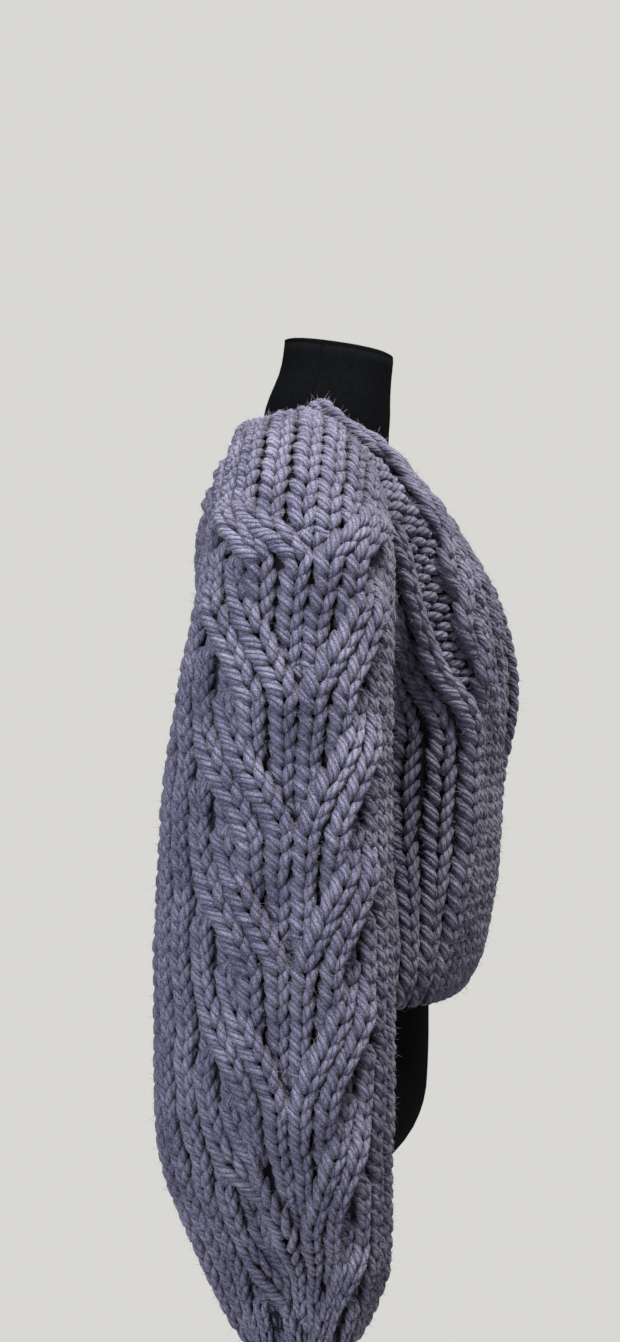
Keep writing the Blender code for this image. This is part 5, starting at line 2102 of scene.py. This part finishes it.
@dataclass
class Studio:
    """Camera, lights, backdrop colour and floor.

    The camera stands on the wearer's right, a little to the front, level, with
    the photograph's perspective: depth of focus 2278 pixels on a frame 1342
    high, so its lens is 36 mm * 2278 / 1342.
    """

    azimuth: float = 276.0
    distance: float = 2.05
    height: float = 1.22
    shift_right: float = -0.0091
    focal_pixels: float = 2278.0
    frame_height: float = 1342.0
    sensor_mm: float = 36.0
    wall_colour: str = "#d9d8d4"
    room_colour: str = "#dfe0e2"
    room_light: float = 0.14
    floor_radius: float = 1.7
    floor_sides: int = 96
    floor_drop: float = 0.0004          # keeps it clear of the base

    def camera(self) -> None:
        """Makes the camera of the photograph's view."""
        turn = np.radians(self.azimuth)
        back = Vector((float(np.sin(turn)), float(-np.cos(turn)), 0.0))
        right = Vector((float(np.cos(turn)), float(np.sin(turn)), 0.0))
        data = bpy.data.cameras.new("view")
        data.sensor_width = self.sensor_mm
        data.lens = self.sensor_mm * self.focal_pixels / self.frame_height
        camera = bpy.data.objects.new("view", data)
        camera.location = back * self.distance + right * self.shift_right + Vector((0.0, 0.0, self.height))
        camera.rotation_mode = "QUATERNION"
        camera.rotation_quaternion = (-back).to_track_quat("-Z", "Y")
        bpy.context.scene.collection.objects.link(camera)
        bpy.context.scene.camera = camera

    def light(
        self, name: str, place: tuple[float, float, float], size: float, watts: float, colour: str
    ) -> None:
        """A square soft light that looks at the middle of the cardigan.

        Args:
            name: Its name.
            place: Where it hangs.
            size: Its side.
            watts: Its power.
            colour: Its colour as a hex code.
        """
        data = bpy.data.lights.new(name, "AREA")
        data.size = size
        data.energy = watts
        red, green, blue, _ = linear(colour)
        data.color = (red, green, blue)
        lamp = bpy.data.objects.new(name, data)
        lamp.location = place
        aim = Vector((0.0, 0.0, 1.1)) - Vector(place)
        lamp.rotation_mode = "QUATERNION"
        lamp.rotation_quaternion = aim.to_track_quat("-Z", "Y")
        bpy.context.scene.collection.objects.link(lamp)

    def world(self) -> None:
        """Pale wall colour behind, and a dimmer soft light from all sides."""
        world = bpy.data.worlds.new("pale_room")
        bpy.context.scene.world = world
        world.use_nodes = True
        tree = world.node_tree
        tree.nodes.clear()
        seen = add_node(tree, "ShaderNodeBackground", {"Color": linear(self.wall_colour), "Strength": 1.0})
        lit = add_node(
            tree,
            "ShaderNodeBackground",
            {"Color": linear(self.room_colour), "Strength": self.room_light},
        )
        ray = add_node(tree, "ShaderNodeLightPath", {})
        both = add_node(
            tree,
            "ShaderNodeMixShader",
            {0: (ray, "Is Camera Ray"), 1: (lit, "Background"), 2: (seen, "Background")},
        )
        add_node(tree, "ShaderNodeOutputWorld", {"Surface": (both, "Shader")})

    def floor(self) -> None:
        """A pale round floor, out of the photograph's view."""
        sides = self.floor_sides
        a = np.arange(sides)
        angle = 2.0 * np.pi * a / sides
        edge = self.floor_radius * np.stack([np.cos(angle), np.sin(angle), 0.0 * angle], axis=1)
        points = np.concatenate([edge, np.zeros((1, 3))]) - (0.0, 0.0, self.floor_drop)
        faces = np.stack([a, (a + 1) % sides, np.full(sides, sides)], axis=1)
        material, _, shader = new_material("pale_floor")
        shader.inputs["Base Color"].default_value = linear(self.wall_colour)
        shader.inputs["Roughness"].default_value = 0.9
        floor = mesh_object("floor", points, NO_QUADS, faces, material)

    def build(self) -> None:
        """Everything around the object."""
        bpy.context.scene.view_settings.view_transform = "Standard"
        self.camera()
        self.world()
        self.floor()
        self.light("ceiling", (-0.80, -0.58, 3.1), 0.7, 50.5, "#fffaf2")
        self.light("room", (-2.35, 0.85, 2.1), 1.4, 43.0, "#f2f4ff")


def main() -> None:
    """Builds the cardigan, the form and the studio, and logs each mesh's number of triangles."""
    logging.basicConfig(level=logging.INFO)
    wool = HeatherWool()
    finishes = (
        wool.make("plied_wool"),
        # The ground in the gaps is the same wool in painted shade, at 0.15 of its brightness.
        wool.make("wool_in_the_gaps_painted_shade", 0.15, False),
        # The loose fibres are the wool drawn much lighter: painted light for the light that thin fibres let
        # through.
        HeatherWool("#a3a1b6", "#b9b7cb", "#cfcddd").make("loose_wool_fibres_painted_light", 1.0, False),
    )
    CardiganLooks(*finishes).build()
    DressForm(BlackJersey().make("black_jersey"), SatinBlackPaint().make("black_powder_coat")).build()
    Studio().build()
    for thing in bpy.context.scene.objects:
        if thing.type == "MESH" and len(thing.data.polygons) > 0:
            LOG.info("%s: %d triangles", thing.name, len(thing.data.loops) - 2 * len(thing.data.polygons))


if __name__ == "__main__":
    main()
